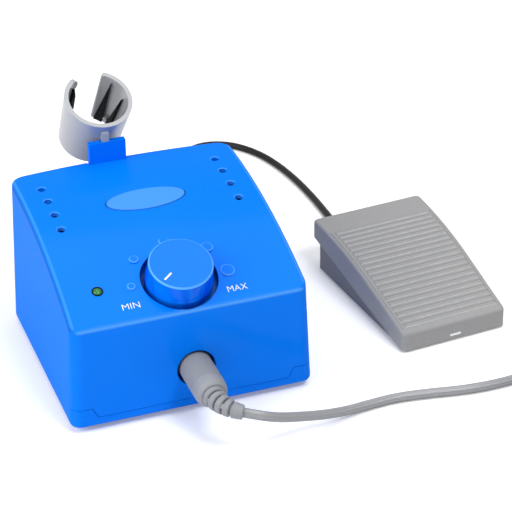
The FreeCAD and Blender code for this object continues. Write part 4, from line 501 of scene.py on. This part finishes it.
def board_mask(name, base):
    """Solder mask with copper tracks showing through as lighter lines."""
    shader = Shader(name)
    cells = shader.node("ShaderNodeTexBrick", {"offset": 0.5}, {
        "Vector": shader.place(), "Scale": 160.0, "Mortar Size": 0.06, "Color1": (1, 1, 1, 1),
        "Color2": (0.8, 0.8, 0.8, 1), "Mortar": (0, 0, 0, 1)})["Fac"]
    return shader.surface({
        "Base Color": shader.tint(1 - cells, shade(base, 1.8), base),
        "Roughness": 0.30 + cells * 0.15,
        "Normal": shader.bump(cells, 0.00003)})


def laminated(name, base):
    """Stack of varnished core sheets: fine lines across the depth."""
    shader = Shader(name)
    sheets = shader.bands("Y", 600.0, 0.4)
    cloud = shader.noise(70.0, detail=3.0)
    return shader.surface({
        "Base Color": shader.tint(sheets, shade(base, 0.6), shade(base, 1.3)),
        "Metallic": 0.5,
        "Roughness": 0.38 + cloud * 0.2,
        "Normal": shader.bump(sheets, 0.00006)})


def wound_tape(name, base):
    """Yellow tape round the winding, with the wire's turns just raised under it."""
    shader = Shader(name)
    turns = shader.bands("Z", 260.0, 0.6)
    cloud = shader.noise(60.0, detail=3.0)
    return shader.surface({
        "Base Color": shader.tint(cloud, shade(base, 0.75), shade(base, 1.15)),
        "Roughness": 0.34 + cloud * 0.15,
        "Normal": shader.bump(turns, 0.00012)})


def clear_tube(name, base):
    """Thin glass that shows what lies behind it."""
    shader = Shader(name)
    cloud = shader.noise(200.0)
    return shader.surface({
        "Base Color": (*base, 1.0),
        "Roughness": 0.04 + cloud * 0.06,
        "Alpha": 0.35,
        "IOR": 1.5})


FINISH_OF = {
    "shell": ("top_cover", "base_pan", "cradle_bracket"),
    "lamp_ring": ("led_retainer",),
    "knob": ("speed_knob",),
    "badge": ("name_badge",),
    "cradle": ("handpiece_cradle",),
    "plug": ("plug_body", "plug_strain_relief", "motor_connector"),
    "treadle": ("treadle",),
    "tray": ("pedal_base",),
    "rubber": ("rubber_feet", "cradle_grips", "pedal_cord_gland", "pedal_feet", "pedal_strain_relief"),
    "black_plastic": ("motor_socket", "rear_panel", "mains_inlet", "power_switch_frame", "fuse_holder",
                      "fuse_cap", "transformer_bobbin", "bridge_rectifier", "power_transistor",
                      "micro_switch", "switch_plunger"),
    "rocker": ("power_rocker",),
    "steel": ("cover_screws", "pot_shaft", "pot_body", "pot_nut", "socket_nut", "bracket_screws",
              "panel_screws", "transformer_clamp", "transformer_screws", "board_screws", "pedal_hinge_pin",
              "return_spring"),
    "brass": ("socket_contacts", "plug_pins", "inlet_pins", "board_standoffs"),
    "aluminium": ("heat_sink",),
    "lamp": ("status_led",),
    "core": ("transformer_core",),
    "tape": ("transformer_winding",),
    "board": ("circuit_board",),
    "can": ("capacitors",),
    "terminal": ("terminal_block",),
    "fuse_glass": ("fuse_link",),
}


def make_finishes():
    """Every finish of the set by its short name."""
    tone = colours()
    return {
        "shell": moulded("shell_blue", tone.shell, 0.45, 1500.0, 0.00001, gloss=0.0, coat=0.12,
                         marks=shell_marks),
        "knob": moulded("knob_blue", tone.knob, 0.40, 1500.0, 0.00001, gloss=0.0, coat=0.22,
                        marks=knob_marks),
        "badge": moulded("badge_blue", tone.badge, 0.40, 1200.0, 0.00002, gloss=0.0, coat=0.12),
        "cradle": moulded("cradle_grey", tone.cradle, 0.34, 1300.0, 0.00002, gloss=0.5, coat=0.4),
        "plug": speckled("plug_grey", tone.plug, 0.48, 1300.0, 0.00002),
        "treadle": speckled("treadle_grey", tone.treadle, 0.50, 1000.0, 0.00005, rib_marks),
        "tray": speckled("tray_grey", tone.tray, 0.60, 1000.0, 0.00008),
        "rubber": rubber("black_rubber", tone.rubber),
        "black_plastic": moulded("black_moulding", tone.housing, 0.45, 1500.0, 0.00003),
        "lamp_ring": moulded("lamp_ring_black", shade(tone.housing, 0.3), 0.5, 1500.0, 0.00001, gloss=0.05),
        "rocker": moulded("rocker_black", tone.housing, 0.28, 1500.0, 0.00001),
        "steel": metal("plated_steel", (0.62, 0.62, 0.63), 0.24),
        "brass": metal("plain_brass", (0.78, 0.56, 0.24), 0.22),
        "aluminium": metal("drawn_aluminium", (0.80, 0.80, 0.81), 0.30),
        "lamp": lamp_lens("green_lens", tone.lamp),
        "core": laminated("core_sheets", (0.10, 0.105, 0.115)),
        "tape": wound_tape("winding_tape", (0.62, 0.44, 0.06)),
        "board": board_mask("solder_mask", tone.board),
        "can": moulded("can_sleeve", (0.015, 0.025, 0.12), 0.30, 900.0, 0.00001, gloss=0.5),
        "terminal": moulded("terminal_green", (0.02, 0.24, 0.07), 0.42, 1200.0, 0.00003),
        "fuse_glass": clear_tube("fuse_glass", (0.85, 0.90, 0.90)),
    }


# Mesh helpers

def add_piece(name, mesh, material, body):
    """Links a mesh made in the model's frame and lets it ride on a body."""
    piece = bpy.data.objects.new(name, mesh)
    bpy.context.scene.collection.objects.link(piece)
    mesh.materials.clear()
    mesh.materials.append(material)
    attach(piece, body)
    return piece


def block_mesh(name, low, high, place, bevel):
    """Small bevelled block between two corners of a local frame."""
    made = bmesh.new()
    bmesh.ops.create_cube(made, size=1.0)
    middle = (Vector(low) + Vector(high)) / 2
    sides = Vector(high) - Vector(low)
    bmesh.ops.scale(made, vec=sides, verts=made.verts)
    bmesh.ops.translate(made, vec=middle, verts=made.verts)
    bmesh.ops.bevel(made, geom=made.edges[:], offset=bevel, segments=2, affect="EDGES")
    made.transform(place)
    mesh = bpy.data.meshes.new(name)
    made.to_mesh(mesh)
    made.free()
    return mesh


def joint_place(name, across):
    """Frame at a joint with its Z along the joint's axis and its X near a given direction."""
    joint = joints[name]
    up = Vector(joint["axis"]).normalized()
    side = (Vector(across) - up * Vector(across).dot(up)).normalized()
    matrix = Matrix((side, up.cross(side), up)).transposed().to_4x4()
    matrix.translation = Vector(joint["pos_m"])
    return matrix


class Surface:
    """The outside of a node, found along a straight look at it."""

    def __init__(self, node):
        mesh = nodes[node].data
        mesh.calc_loop_triangles()
        points = [vertex.co.copy() for vertex in mesh.vertices]
        faces = [tuple(triangle.vertices) for triangle in mesh.loop_triangles]
        self.tree = BVHTree.FromPolygons(points, faces)

    def seen(self, start, direction):
        hit = self.tree.ray_cast(Vector(start), Vector(direction))
        if hit[0] is None:
            raise RuntimeError(f"nothing is seen from {start}")
        return hit[0]

    def height(self, x, y):
        return self.seen((x, y, 1.0), (0, 0, -1)).z


# Leads

# Turns in which a coil climbs from its lower layer to the upper one
CLIMB_TURNS = 0.5


class Coil:
    """Put-away coil in two layers: in, up in the reversing half turn, and out again."""

    def __init__(self, centre, outer, step, diameter, start_angle, spin):
        self.centre = Vector(centre)
        self.outer = outer
        self.step = step
        self.diameter = diameter
        self.start_angle = start_angle
        self.spin = spin
        self.turns = 2 * leads().layer_turns + CLIMB_TURNS

    def point(self, turn):
        radius = self.outer - self.step * min(turn, self.turns - turn)
        climb = min(max((turn - leads().layer_turns) / CLIMB_TURNS, 0.0), 1.0)
        eased = climb * climb * (3 - 2 * climb)
        height = self.diameter / 2 + leads().floor_gap + (self.diameter + leads().layer_gap) * eased
        angle = self.start_angle + self.spin * 2 * math.pi * turn
        return self.centre + Vector((radius * math.cos(angle), radius * math.sin(angle), height))

    def direction(self, turn):
        """Which way the lead runs at a turn."""
        small = 1e-4
        return (self.point(turn + small) - self.point(turn - small)).normalized()

    def start(self):
        return self.point(0) - self.direction(0) * self.diameter

    def end(self):
        return self.point(self.turns) + self.direction(self.turns) * self.diameter

    def points(self):
        steps = round(self.turns * leads().points_per_turn)
        inner = [self.point(self.turns * step / steps) for step in range(steps + 1)]
        return [self.start()] + inner + [self.end()]


def route_curve(name, points):
    """Open smooth curve with the route's points as its control points."""
    curve = bpy.data.curves.new(name, "CURVE")
    curve.dimensions = "3D"
    curve.resolution_u = 6
    spline = curve.splines.new("NURBS")
    spline.points.add(len(points) - 1)
    for control, point in zip(spline.points, points):
        control.co = (*point, 1.0)
    spline.order_u = 3
    spline.use_endpoint_u = True
    piece = bpy.data.objects.new(name, curve)
    bpy.context.scene.collection.objects.link(piece)
    return piece


def pedal_place():
    """The pedal's own frame: its middle on the floor, turned a little from the box."""
    return Matrix.Translation(PEDAL_MIDDLE) @ Matrix.Rotation(PEDAL_TURN, 4, "Z")


def in_frame(rows):
    """Points of the box frame, in metres, moved to the model's frame."""
    return [Vector(row) + BOX_MIDDLE for row in rows]


def centreline(name, points):
    """Points along the smooth route, read from its bare curve."""
    guide = route_curve(name + "_guide", points)
    depsgraph = bpy.context.evaluated_depsgraph_get()
    line = bpy.data.meshes.new_from_object(guide.evaluated_get(depsgraph))
    path = [vertex.co.copy() for vertex in line.vertices]
    bpy.data.meshes.remove(line)
    bpy.data.objects.remove(guide)
    return path


def tube_tree():
    """Node tree that sweeps a star along a route: a tube with lengthwise ridges, closed at its ends."""
    tree = bpy.data.node_groups.new("ridged_tube", "GeometryNodeTree")
    sockets = (("Route", "NodeSocketGeometry"), ("Radius", "NodeSocketFloat"), ("Ridges", "NodeSocketInt"),
               ("Ridge Depth", "NodeSocketFloat"), ("Finish", "NodeSocketMaterial"))
    for name, kind in sockets:
        tree.interface.new_socket(name, in_out="INPUT", socket_type=kind)
    tree.interface.new_socket("Tube", in_out="OUTPUT", socket_type="NodeSocketGeometry")

    def node(kind, settings=(), **links):
        made = tree.nodes.new(kind)
        for name, value in dict(settings).items():
            made.inputs[name].default_value = value
        for name, socket in links.items():
            tree.links.new(socket, made.inputs[name.replace("_", " ")])
        return made

    given = node("NodeGroupInput")
    inner = node("ShaderNodeMath")
    inner.operation = "SUBTRACT"
    tree.links.new(given.outputs["Radius"], inner.inputs[0])
    tree.links.new(given.outputs["Ridge Depth"], inner.inputs[1])
    star = node("GeometryNodeCurveStar", Points=given.outputs["Ridges"], Inner_Radius=inner.outputs[0],
                Outer_Radius=given.outputs["Radius"])
    profile = node("GeometryNodeSubdivideCurve", {"Cuts": 1}, Curve=star.outputs["Curve"])
    swept = node("GeometryNodeCurveToMesh", {"Fill Caps": True}, Curve=given.outputs["Route"],
                 Profile_Curve=profile.outputs["Curve"])
    smoothed = node("GeometryNodeSetShadeSmooth", Geometry=swept.outputs["Mesh"])
    solid = node("GeometryNodeRealizeInstances", Geometry=smoothed.outputs["Geometry"])
    coloured = node("GeometryNodeSetMaterial", Geometry=solid.outputs["Geometry"],
                    Material=given.outputs["Finish"])
    node("NodeGroupOutput", Tube=coloured.outputs["Geometry"])
    return tree


def ridged_tube(name, points, radius, ridges, depth, finish):
    """Mesh of a ridged tube on the smooth route through the points."""
    guide = route_curve(name + "_route", points)
    modifier = guide.modifiers.new("Ridges", "NODES")
    modifier.node_group = tube_tree()
    given = {"Radius": radius, "Ridges": ridges, "Ridge Depth": depth, "Finish": finish}
    for socket in modifier.node_group.interface.items_tree:
        if socket.name in given:
            modifier[socket.identifier] = given[socket.name]
    depsgraph = bpy.context.evaluated_depsgraph_get()
    mesh = bpy.data.meshes.new_from_object(guide.evaluated_get(depsgraph))
    bpy.data.objects.remove(guide)
    mesh.name = name
    return mesh


def lead_sheath(name, base, roughness, gloss):
    """Extruded sheath: fine grain and a slow change of tone."""
    shader = Shader(name)
    slow = shader.noise(35.0, detail=3.0)
    fine = shader.noise(1400.0, detail=3.0)
    return shader.surface({
        "Base Color": shader.tint(slow, shade(base, 0.92), shade(base, 1.08)),
        "Roughness": roughness + fine * 0.10,
        "Specular IOR Level": gloss,
        "Normal": shader.bump(fine, 0.00001)})


class MICROMOTOR_OT_camera(bpy.types.Operator):
    """Set the camera up where the photograph was taken"""

    bl_idname = "micromotor.camera"
    bl_label = "Camera"

    def execute(self, context):
        view = context.scene.micromotor_camera
        flat = math.cos(view.elevation)
        forward = Vector((math.sin(view.azimuth) * flat, math.cos(view.azimuth) * flat,
                          -math.sin(view.elevation)))
        level = Vector((math.cos(view.azimuth), -math.sin(view.azimuth), 0.0))
        above = level.cross(forward)
        right = level * math.cos(view.roll) + above * math.sin(view.roll)
        up = right.cross(forward)
        data = bpy.data.cameras.new("photo_camera")
        data.lens = view.lens
        data.sensor_width = SENSOR_WIDTH
        data.clip_start = 0.05
        data.clip_end = 20.0
        camera = bpy.data.objects.new("photo_camera", data)
        context.scene.collection.objects.link(camera)
        turn = Matrix((right, up, -forward)).transposed()
        camera.matrix_world = Matrix.Translation(Vector(view.position)) @ turn.to_4x4()
        context.scene.camera = camera
        return {"FINISHED"}


# Straight runs of each lead: out of its plug or gland, into the coil, out of the coil, into its far end
MOTOR_RUNS = (9 * MM, 18 * MM, 12 * MM, 12 * MM)
PEDAL_RUNS = (7 * MM, 7 * MM, 9 * MM, 11 * MM)
MOTOR_END_TURN = math.radians(-52)


class MICROMOTOR_OT_motor_lead(bpy.types.Operator):
    """Lay the ridged motor lead from its plug to its coil and its connector"""

    bl_idname = "micromotor.motor_lead"
    bl_label = "Motor lead"

    def execute(self, context):
        size = leads()
        floor = size.motor_diameter / 2 + size.floor_gap
        centre = Vector((0.210, -0.141, 0.0)) + BOX_MIDDLE
        coil = Coil(centre, size.motor_coil_outer, size.motor_coil_step, size.motor_diameter, math.pi / 2, -1)
        exit_direction = Vector((0.87208, -0.46947, -0.13812))
        exit_point = Vector((0.011919, -0.114007, 0.025750)) + BOX_MIDDLE
        laid = in_frame([
            (0.0300, -0.1176, 0.0204), (0.0425, -0.1126, 0.0146), (0.0585, -0.1070, 0.0082),
            (0.0746, -0.1021, 0.0038), (0.0890, -0.0992, floor), (0.1060, -0.0982, floor),
            (0.1250, -0.1010, floor), (0.1440, -0.1048, floor), (0.1650, -0.1056, floor)])
        end_direction = Vector((math.cos(MOTOR_END_TURN), math.sin(MOTOR_END_TURN), 0.0))
        end_point = Vector((0.2610, -0.1230, 0.00555)) + BOX_MIDDLE
        out_run, in_run, off_run, end_run = MOTOR_RUNS
        points = [exit_point, exit_point + exit_direction * out_run, *laid,
                  coil.start() - coil.direction(0) * in_run, *coil.points(),
                  coil.end() + coil.direction(coil.turns) * off_run,
                  Vector((0.2420, -0.1070, 0.0076)) + BOX_MIDDLE,
                  end_point - end_direction * end_run, end_point]
        sheath = lead_sheath("motor_sheath", colours().motor_lead, roughness=0.2, gloss=0.5)
        mesh = ridged_tube("motor_lead", points, size.motor_diameter / 2, size.motor_ridges,
                           size.motor_ridge_depth, sheath)
        piece = add_piece("motor_lead", mesh, sheath, "housing")
        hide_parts("motor_cord", "motor_cord_coil")
        centreline("motor_lead", points)
        return {"FINISHED"}


class MICROMOTOR_OT_pedal_lead(bpy.types.Operator):
    """Lay the black pedal lead from the box's rear through its coil to the pedal"""

    bl_idname = "micromotor.pedal_lead"
    bl_label = "Pedal lead"

    def execute(self, context):
        size = leads()
        floor = size.pedal_diameter / 2 + size.floor_gap
        gland = Vector((0.039, 0.074100, 0.016)) + BOX_MIDDLE
        centre = Vector((0.039 - size.pedal_coil_outer, 0.129, 0.0)) + BOX_MIDDLE
        coil = Coil(centre, size.pedal_coil_outer, size.pedal_coil_step, size.pedal_diameter, 0.0, 1)
        fall = in_frame([(0.0393, 0.0900, 0.0126), (0.0388, 0.1005, 0.0072), (0.0392, 0.1115, 0.0028)])
        laid = in_frame([
            (0.0430, 0.1560, 0.0040), (0.0515, 0.1710, floor), (0.0615, 0.1875, floor),
            (0.0725, 0.2030, floor), (0.0844, 0.2156, floor), (0.0950, 0.2232, floor),
            (0.1075, 0.2242, floor), (0.1202, 0.2178, floor), (0.1299, 0.2050, floor),
            (0.1365, 0.1896, floor), (0.1417, 0.1664, floor), (0.1445, 0.1380, floor),
            (0.1451, 0.1100, floor), (0.1446, 0.0890, floor + 0.6 * MM)])
        pedal = pedal_place()
        pedal_exit = pedal @ Vector((-0.0070, 0.0581, 0.0080))
        backward = pedal.to_3x3() @ Vector((0.0, 1.0, 0.0))
        out_run, in_run, off_run, end_run = PEDAL_RUNS
        points = [gland, gland + Vector((0, out_run, 0)), *fall,
                  coil.start() - coil.direction(0) * in_run, *coil.points(),
                  coil.end() + coil.direction(coil.turns) * off_run, *laid,
                  pedal_exit + backward * end_run, pedal_exit]
        piece = route_curve("pedal_lead", points)
        piece.data.bevel_depth = size.pedal_diameter / 2
        piece.data.bevel_resolution = 5
        piece.data.use_fill_caps = True
        piece.data.materials.append(
            lead_sheath("pedal_sheath", colours().rubber, roughness=0.34, gloss=0.2))
        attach(piece, "housing")
        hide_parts("pedal_cord", "pedal_cord_coil")
        return {"FINISHED"}


class MICROMOTOR_OT_finishes(bpy.types.Operator):
    """Give every piece of the model its finish"""

    bl_idname = "micromotor.finishes"
    bl_label = "Finishes"

    def execute(self, context):
        finishes = make_finishes()
        for finish, names in FINISH_OF.items():
            for name in names:
                for slot in nodes[name].material_slots:
                    slot.material = finishes[finish]
        return {"FINISHED"}


# Name, text, middle in the box's frame and half the width
WORDS = (("word_min", "MIN", (-0.0307, -0.05885, 0.0), 4.8 * MM),
         ("word_max", "MAX", (0.0279, -0.06015, 0.0), 5.5 * MM))
WORD_HEIGHT = 3.4 * MM
LETTER_DEPTH = 0.02
LETTER_THINNING = -0.014
PAINT_BOTTOM = 0.05 * MM
PAINT_TOP = 0.09 * MM
POINTER_CORNERS = ((8.55 * MM, -0.52 * MM, 11.45 * MM), (14.55 * MM, 0.52 * MM, 11.76 * MM))


def spread(values):
    """How far apart the lowest and the highest value are."""
    values = list(values)
    return max(values) - min(values)


def printed_word(name, text, middle, half_width, height, surface, material):
    """White word printed on the top face: flat letters laid onto the surface."""
    curve = bpy.data.curves.new(name, "FONT")
    curve.body = text
    curve.align_x = "CENTER"
    curve.align_y = "CENTER"
    curve.extrude = LETTER_DEPTH
    curve.offset = LETTER_THINNING
    curve.resolution_u = 6
    flat = bpy.data.objects.new(name + "_flat", curve)
    bpy.context.scene.collection.objects.link(flat)
    bpy.context.view_layer.update()
    depsgraph = bpy.context.evaluated_depsgraph_get()
    mesh = bpy.data.meshes.new_from_object(flat.evaluated_get(depsgraph))
    bpy.data.objects.remove(flat)
    width = spread(vertex.co.x for vertex in mesh.vertices)
    tall = spread(vertex.co.y for vertex in mesh.vertices)
    for vertex in mesh.vertices:
        x = middle.x + vertex.co.x * 2 * half_width / width
        y = middle.y + vertex.co.y * height / tall
        lift = PAINT_TOP if vertex.co.z > 0 else PAINT_BOTTOM
        vertex.co = (x, y, surface.height(x, y) + lift)
    return add_piece(name, mesh, material, "housing")


class MICROMOTOR_OT_markings(bpy.types.Operator):
    """Print the two words and fill the knob's pointer and the pedal's bar"""

    bl_idname = "micromotor.markings"
    bl_label = "Markings"

    def execute(self, context):
        paint = painted_mark("white_paint", colours().paint)
        surface = Surface("top_cover")
        for name, text, middle, half_width in WORDS:
            printed_word(name, text, Vector(middle) + BOX_MIDDLE, half_width, WORD_HEIGHT, surface, paint)
        knob = knob_place() @ Matrix.Rotation(POINTER_TURN, 4, "Z")
        pointer = block_mesh("knob_pointer", *POINTER_CORNERS, knob, 0.06 * MM)
        add_piece("knob_pointer", pointer, paint, "knob")
        pedal = pedal_place()
        before = pedal @ Vector((0.7 * MM, -0.2, 4.05 * MM))
        skirt = pedal.inverted() @ Surface("treadle").seen(before, pedal.to_3x3() @ Vector((0, 1, 0)))
        bar = block_mesh("pedal_bar", (-2.7 * MM, skirt.y - 0.12 * MM, 3.35 * MM),
                         (4.1 * MM, skirt.y + 0.5 * MM, 4.75 * MM), pedal, 0.05 * MM)
        add_piece("pedal_bar", bar, paint, "foot_plate")
        return {"FINISHED"}


def plane_mesh(name, size, height):
    """Square sheet that reaches as far as size on every side."""
    made = bmesh.new()
    bmesh.ops.create_grid(made, x_segments=1, y_segments=1, size=size)
    bmesh.ops.translate(made, vec=Vector((0, 0, height)), verts=made.verts)
    mesh = bpy.data.meshes.new(name)
    made.to_mesh(mesh)
    made.free()
    return mesh


def seen_directly(shader):
    """1 for what the camera, a reflection or clear plastic sees, and 0 for light on the object."""
    rays = shader.node("ShaderNodeLightPath")
    return rays["Is Camera Ray"] + rays["Is Glossy Ray"] + rays["Is Transmission Ray"]


def floor_finish():
    """White floor that keeps shadows and looks paper white to the camera."""
    shader = Shader("studio_floor")
    matt = shader.node("ShaderNodeBsdfDiffuse", None, {"Color": (0.93, 0.93, 0.94, 1)})["BSDF"]
    glow = shader.node("ShaderNodeEmission", None, {"Color": (1, 1, 1, 1), "Strength": 0.22})["Emission"]
    lifted = shader.node("ShaderNodeAddShader", None, {0: matt, 1: glow})["Shader"]
    return shader.finish(shader.node("ShaderNodeMixShader", None, {
        0: seen_directly(shader), 1: matt, 2: lifted})["Shader"])


LIGHT_AIM = Vector((-0.02, 0.0, 0.05))

# Name, setting that holds its watts, place, width and height
SOFTBOXES = (
    ("left_softbox", "key", (-1.20, -0.30, 0.80), 1.0, 1.0),
    ("top_softbox", "top", (0.15, 0.20, 1.60), 1.4, 1.4),
    ("edge_softbox", "edge", (0.27, -0.72, 1.18), 0.50, 0.30))


def softbox(name, place, width, height, watts):
    """Lit panel at a place, turned towards the set."""
    data = bpy.data.lights.new(name, "AREA")
    data.shape = "RECTANGLE"
    data.size = width
    data.size_y = height
    data.energy = watts
    lamp = bpy.data.objects.new(name, data)
    bpy.context.scene.collection.objects.link(lamp)
    lamp.location = place
    lamp.rotation_euler = (LIGHT_AIM - Vector(place)).to_track_quat("-Z", "Y").to_euler()


def light_room(strength):
    """Pale room: white where it is seen, a plain soft light where it shines."""
    world = bpy.data.worlds.new("studio_room")
    world.use_nodes = True
    tree = world.node_tree
    tree.nodes.clear()
    rays = tree.nodes.new("ShaderNodeLightPath")

    def white(amount):
        made = tree.nodes.new("ShaderNodeBackground")
        made.inputs["Color"].default_value = (1, 1, 1, 1)
        made.inputs["Strength"].default_value = amount
        return made

    seen = white(1.0)
    lit = white(strength)
    mix = tree.nodes.new("ShaderNodeMixShader")
    output = tree.nodes.new("ShaderNodeOutputWorld")
    direct = rays.outputs["Is Camera Ray"]
    for name in ("Is Glossy Ray", "Is Transmission Ray"):
        either = tree.nodes.new("ShaderNodeMath")
        either.operation = "MAXIMUM"
        tree.links.new(direct, either.inputs[0])
        tree.links.new(rays.outputs[name], either.inputs[1])
        direct = either.outputs[0]
    tree.links.new(direct, mix.inputs[0])
    tree.links.new(lit.outputs[0], mix.inputs[1])
    tree.links.new(seen.outputs[0], mix.inputs[2])
    tree.links.new(mix.outputs[0], output.inputs["Surface"])
    bpy.context.scene.world = world


class MICROMOTOR_OT_stage(bpy.types.Operator):
    """Put up the floor, the softboxes and the room's light"""

    bl_idname = "micromotor.stage"
    bl_label = "Stage"

    def execute(self, context):
        sheet = plane_mesh("studio_floor", 6.0, -0.2 * MM)
        floor = bpy.data.objects.new("studio_floor", sheet)
        context.scene.collection.objects.link(floor)
        floor.data.materials.append(floor_finish())
        power = lights()
        for name, setting, place, width, height in SOFTBOXES:
            softbox(name, place, width, height, getattr(power, setting))
        light_room(power.room)
        context.scene.view_settings.view_transform = "Standard"
        return {"FINISHED"}


OPERATORS = (MICROMOTOR_OT_camera, MICROMOTOR_OT_motor_lead, MICROMOTOR_OT_pedal_lead,
             MICROMOTOR_OT_finishes, MICROMOTOR_OT_markings, MICROMOTOR_OT_stage)


class MICROMOTOR_PT_panel(bpy.types.Panel):
    """Steps and sizes of the micromotor set"""

    bl_idname = "MICROMOTOR_PT_panel"
    bl_label = "Micromotor set"
    bl_space_type = "VIEW_3D"
    bl_region_type = "UI"
    bl_category = "Micromotor"

    def draw(self, context):
        layout = self.layout
        for operator in OPERATORS:
            layout.operator(operator.bl_idname)
        for name, group in GROUPS.items():
            box = layout.box()
            box.label(text=group.__doc__)
            for prop in group.__annotations__:
                box.prop(getattr(context.scene, name), prop)


def register():
    for group in GROUPS.values():
        bpy.utils.register_class(group)
    for operator in OPERATORS:
        bpy.utils.register_class(operator)
    bpy.utils.register_class(MICROMOTOR_PT_panel)
    for name, group in GROUPS.items():
        setattr(bpy.types.Scene, name, PointerProperty(type=group))


def unregister():
    for name in GROUPS:
        delattr(bpy.types.Scene, name)
    bpy.utils.unregister_class(MICROMOTOR_PT_panel)
    for operator in reversed(OPERATORS):
        bpy.utils.unregister_class(operator)
    for group in reversed(list(GROUPS.values())):
        bpy.utils.unregister_class(group)


def main():
    register()
    bpy.ops.micromotor.camera()
    bpy.ops.micromotor.motor_lead()
    bpy.ops.micromotor.pedal_lead()
    bpy.ops.micromotor.finishes()
    bpy.ops.micromotor.markings()
    bpy.ops.micromotor.stage()


if __name__ == "__main__":
    main()
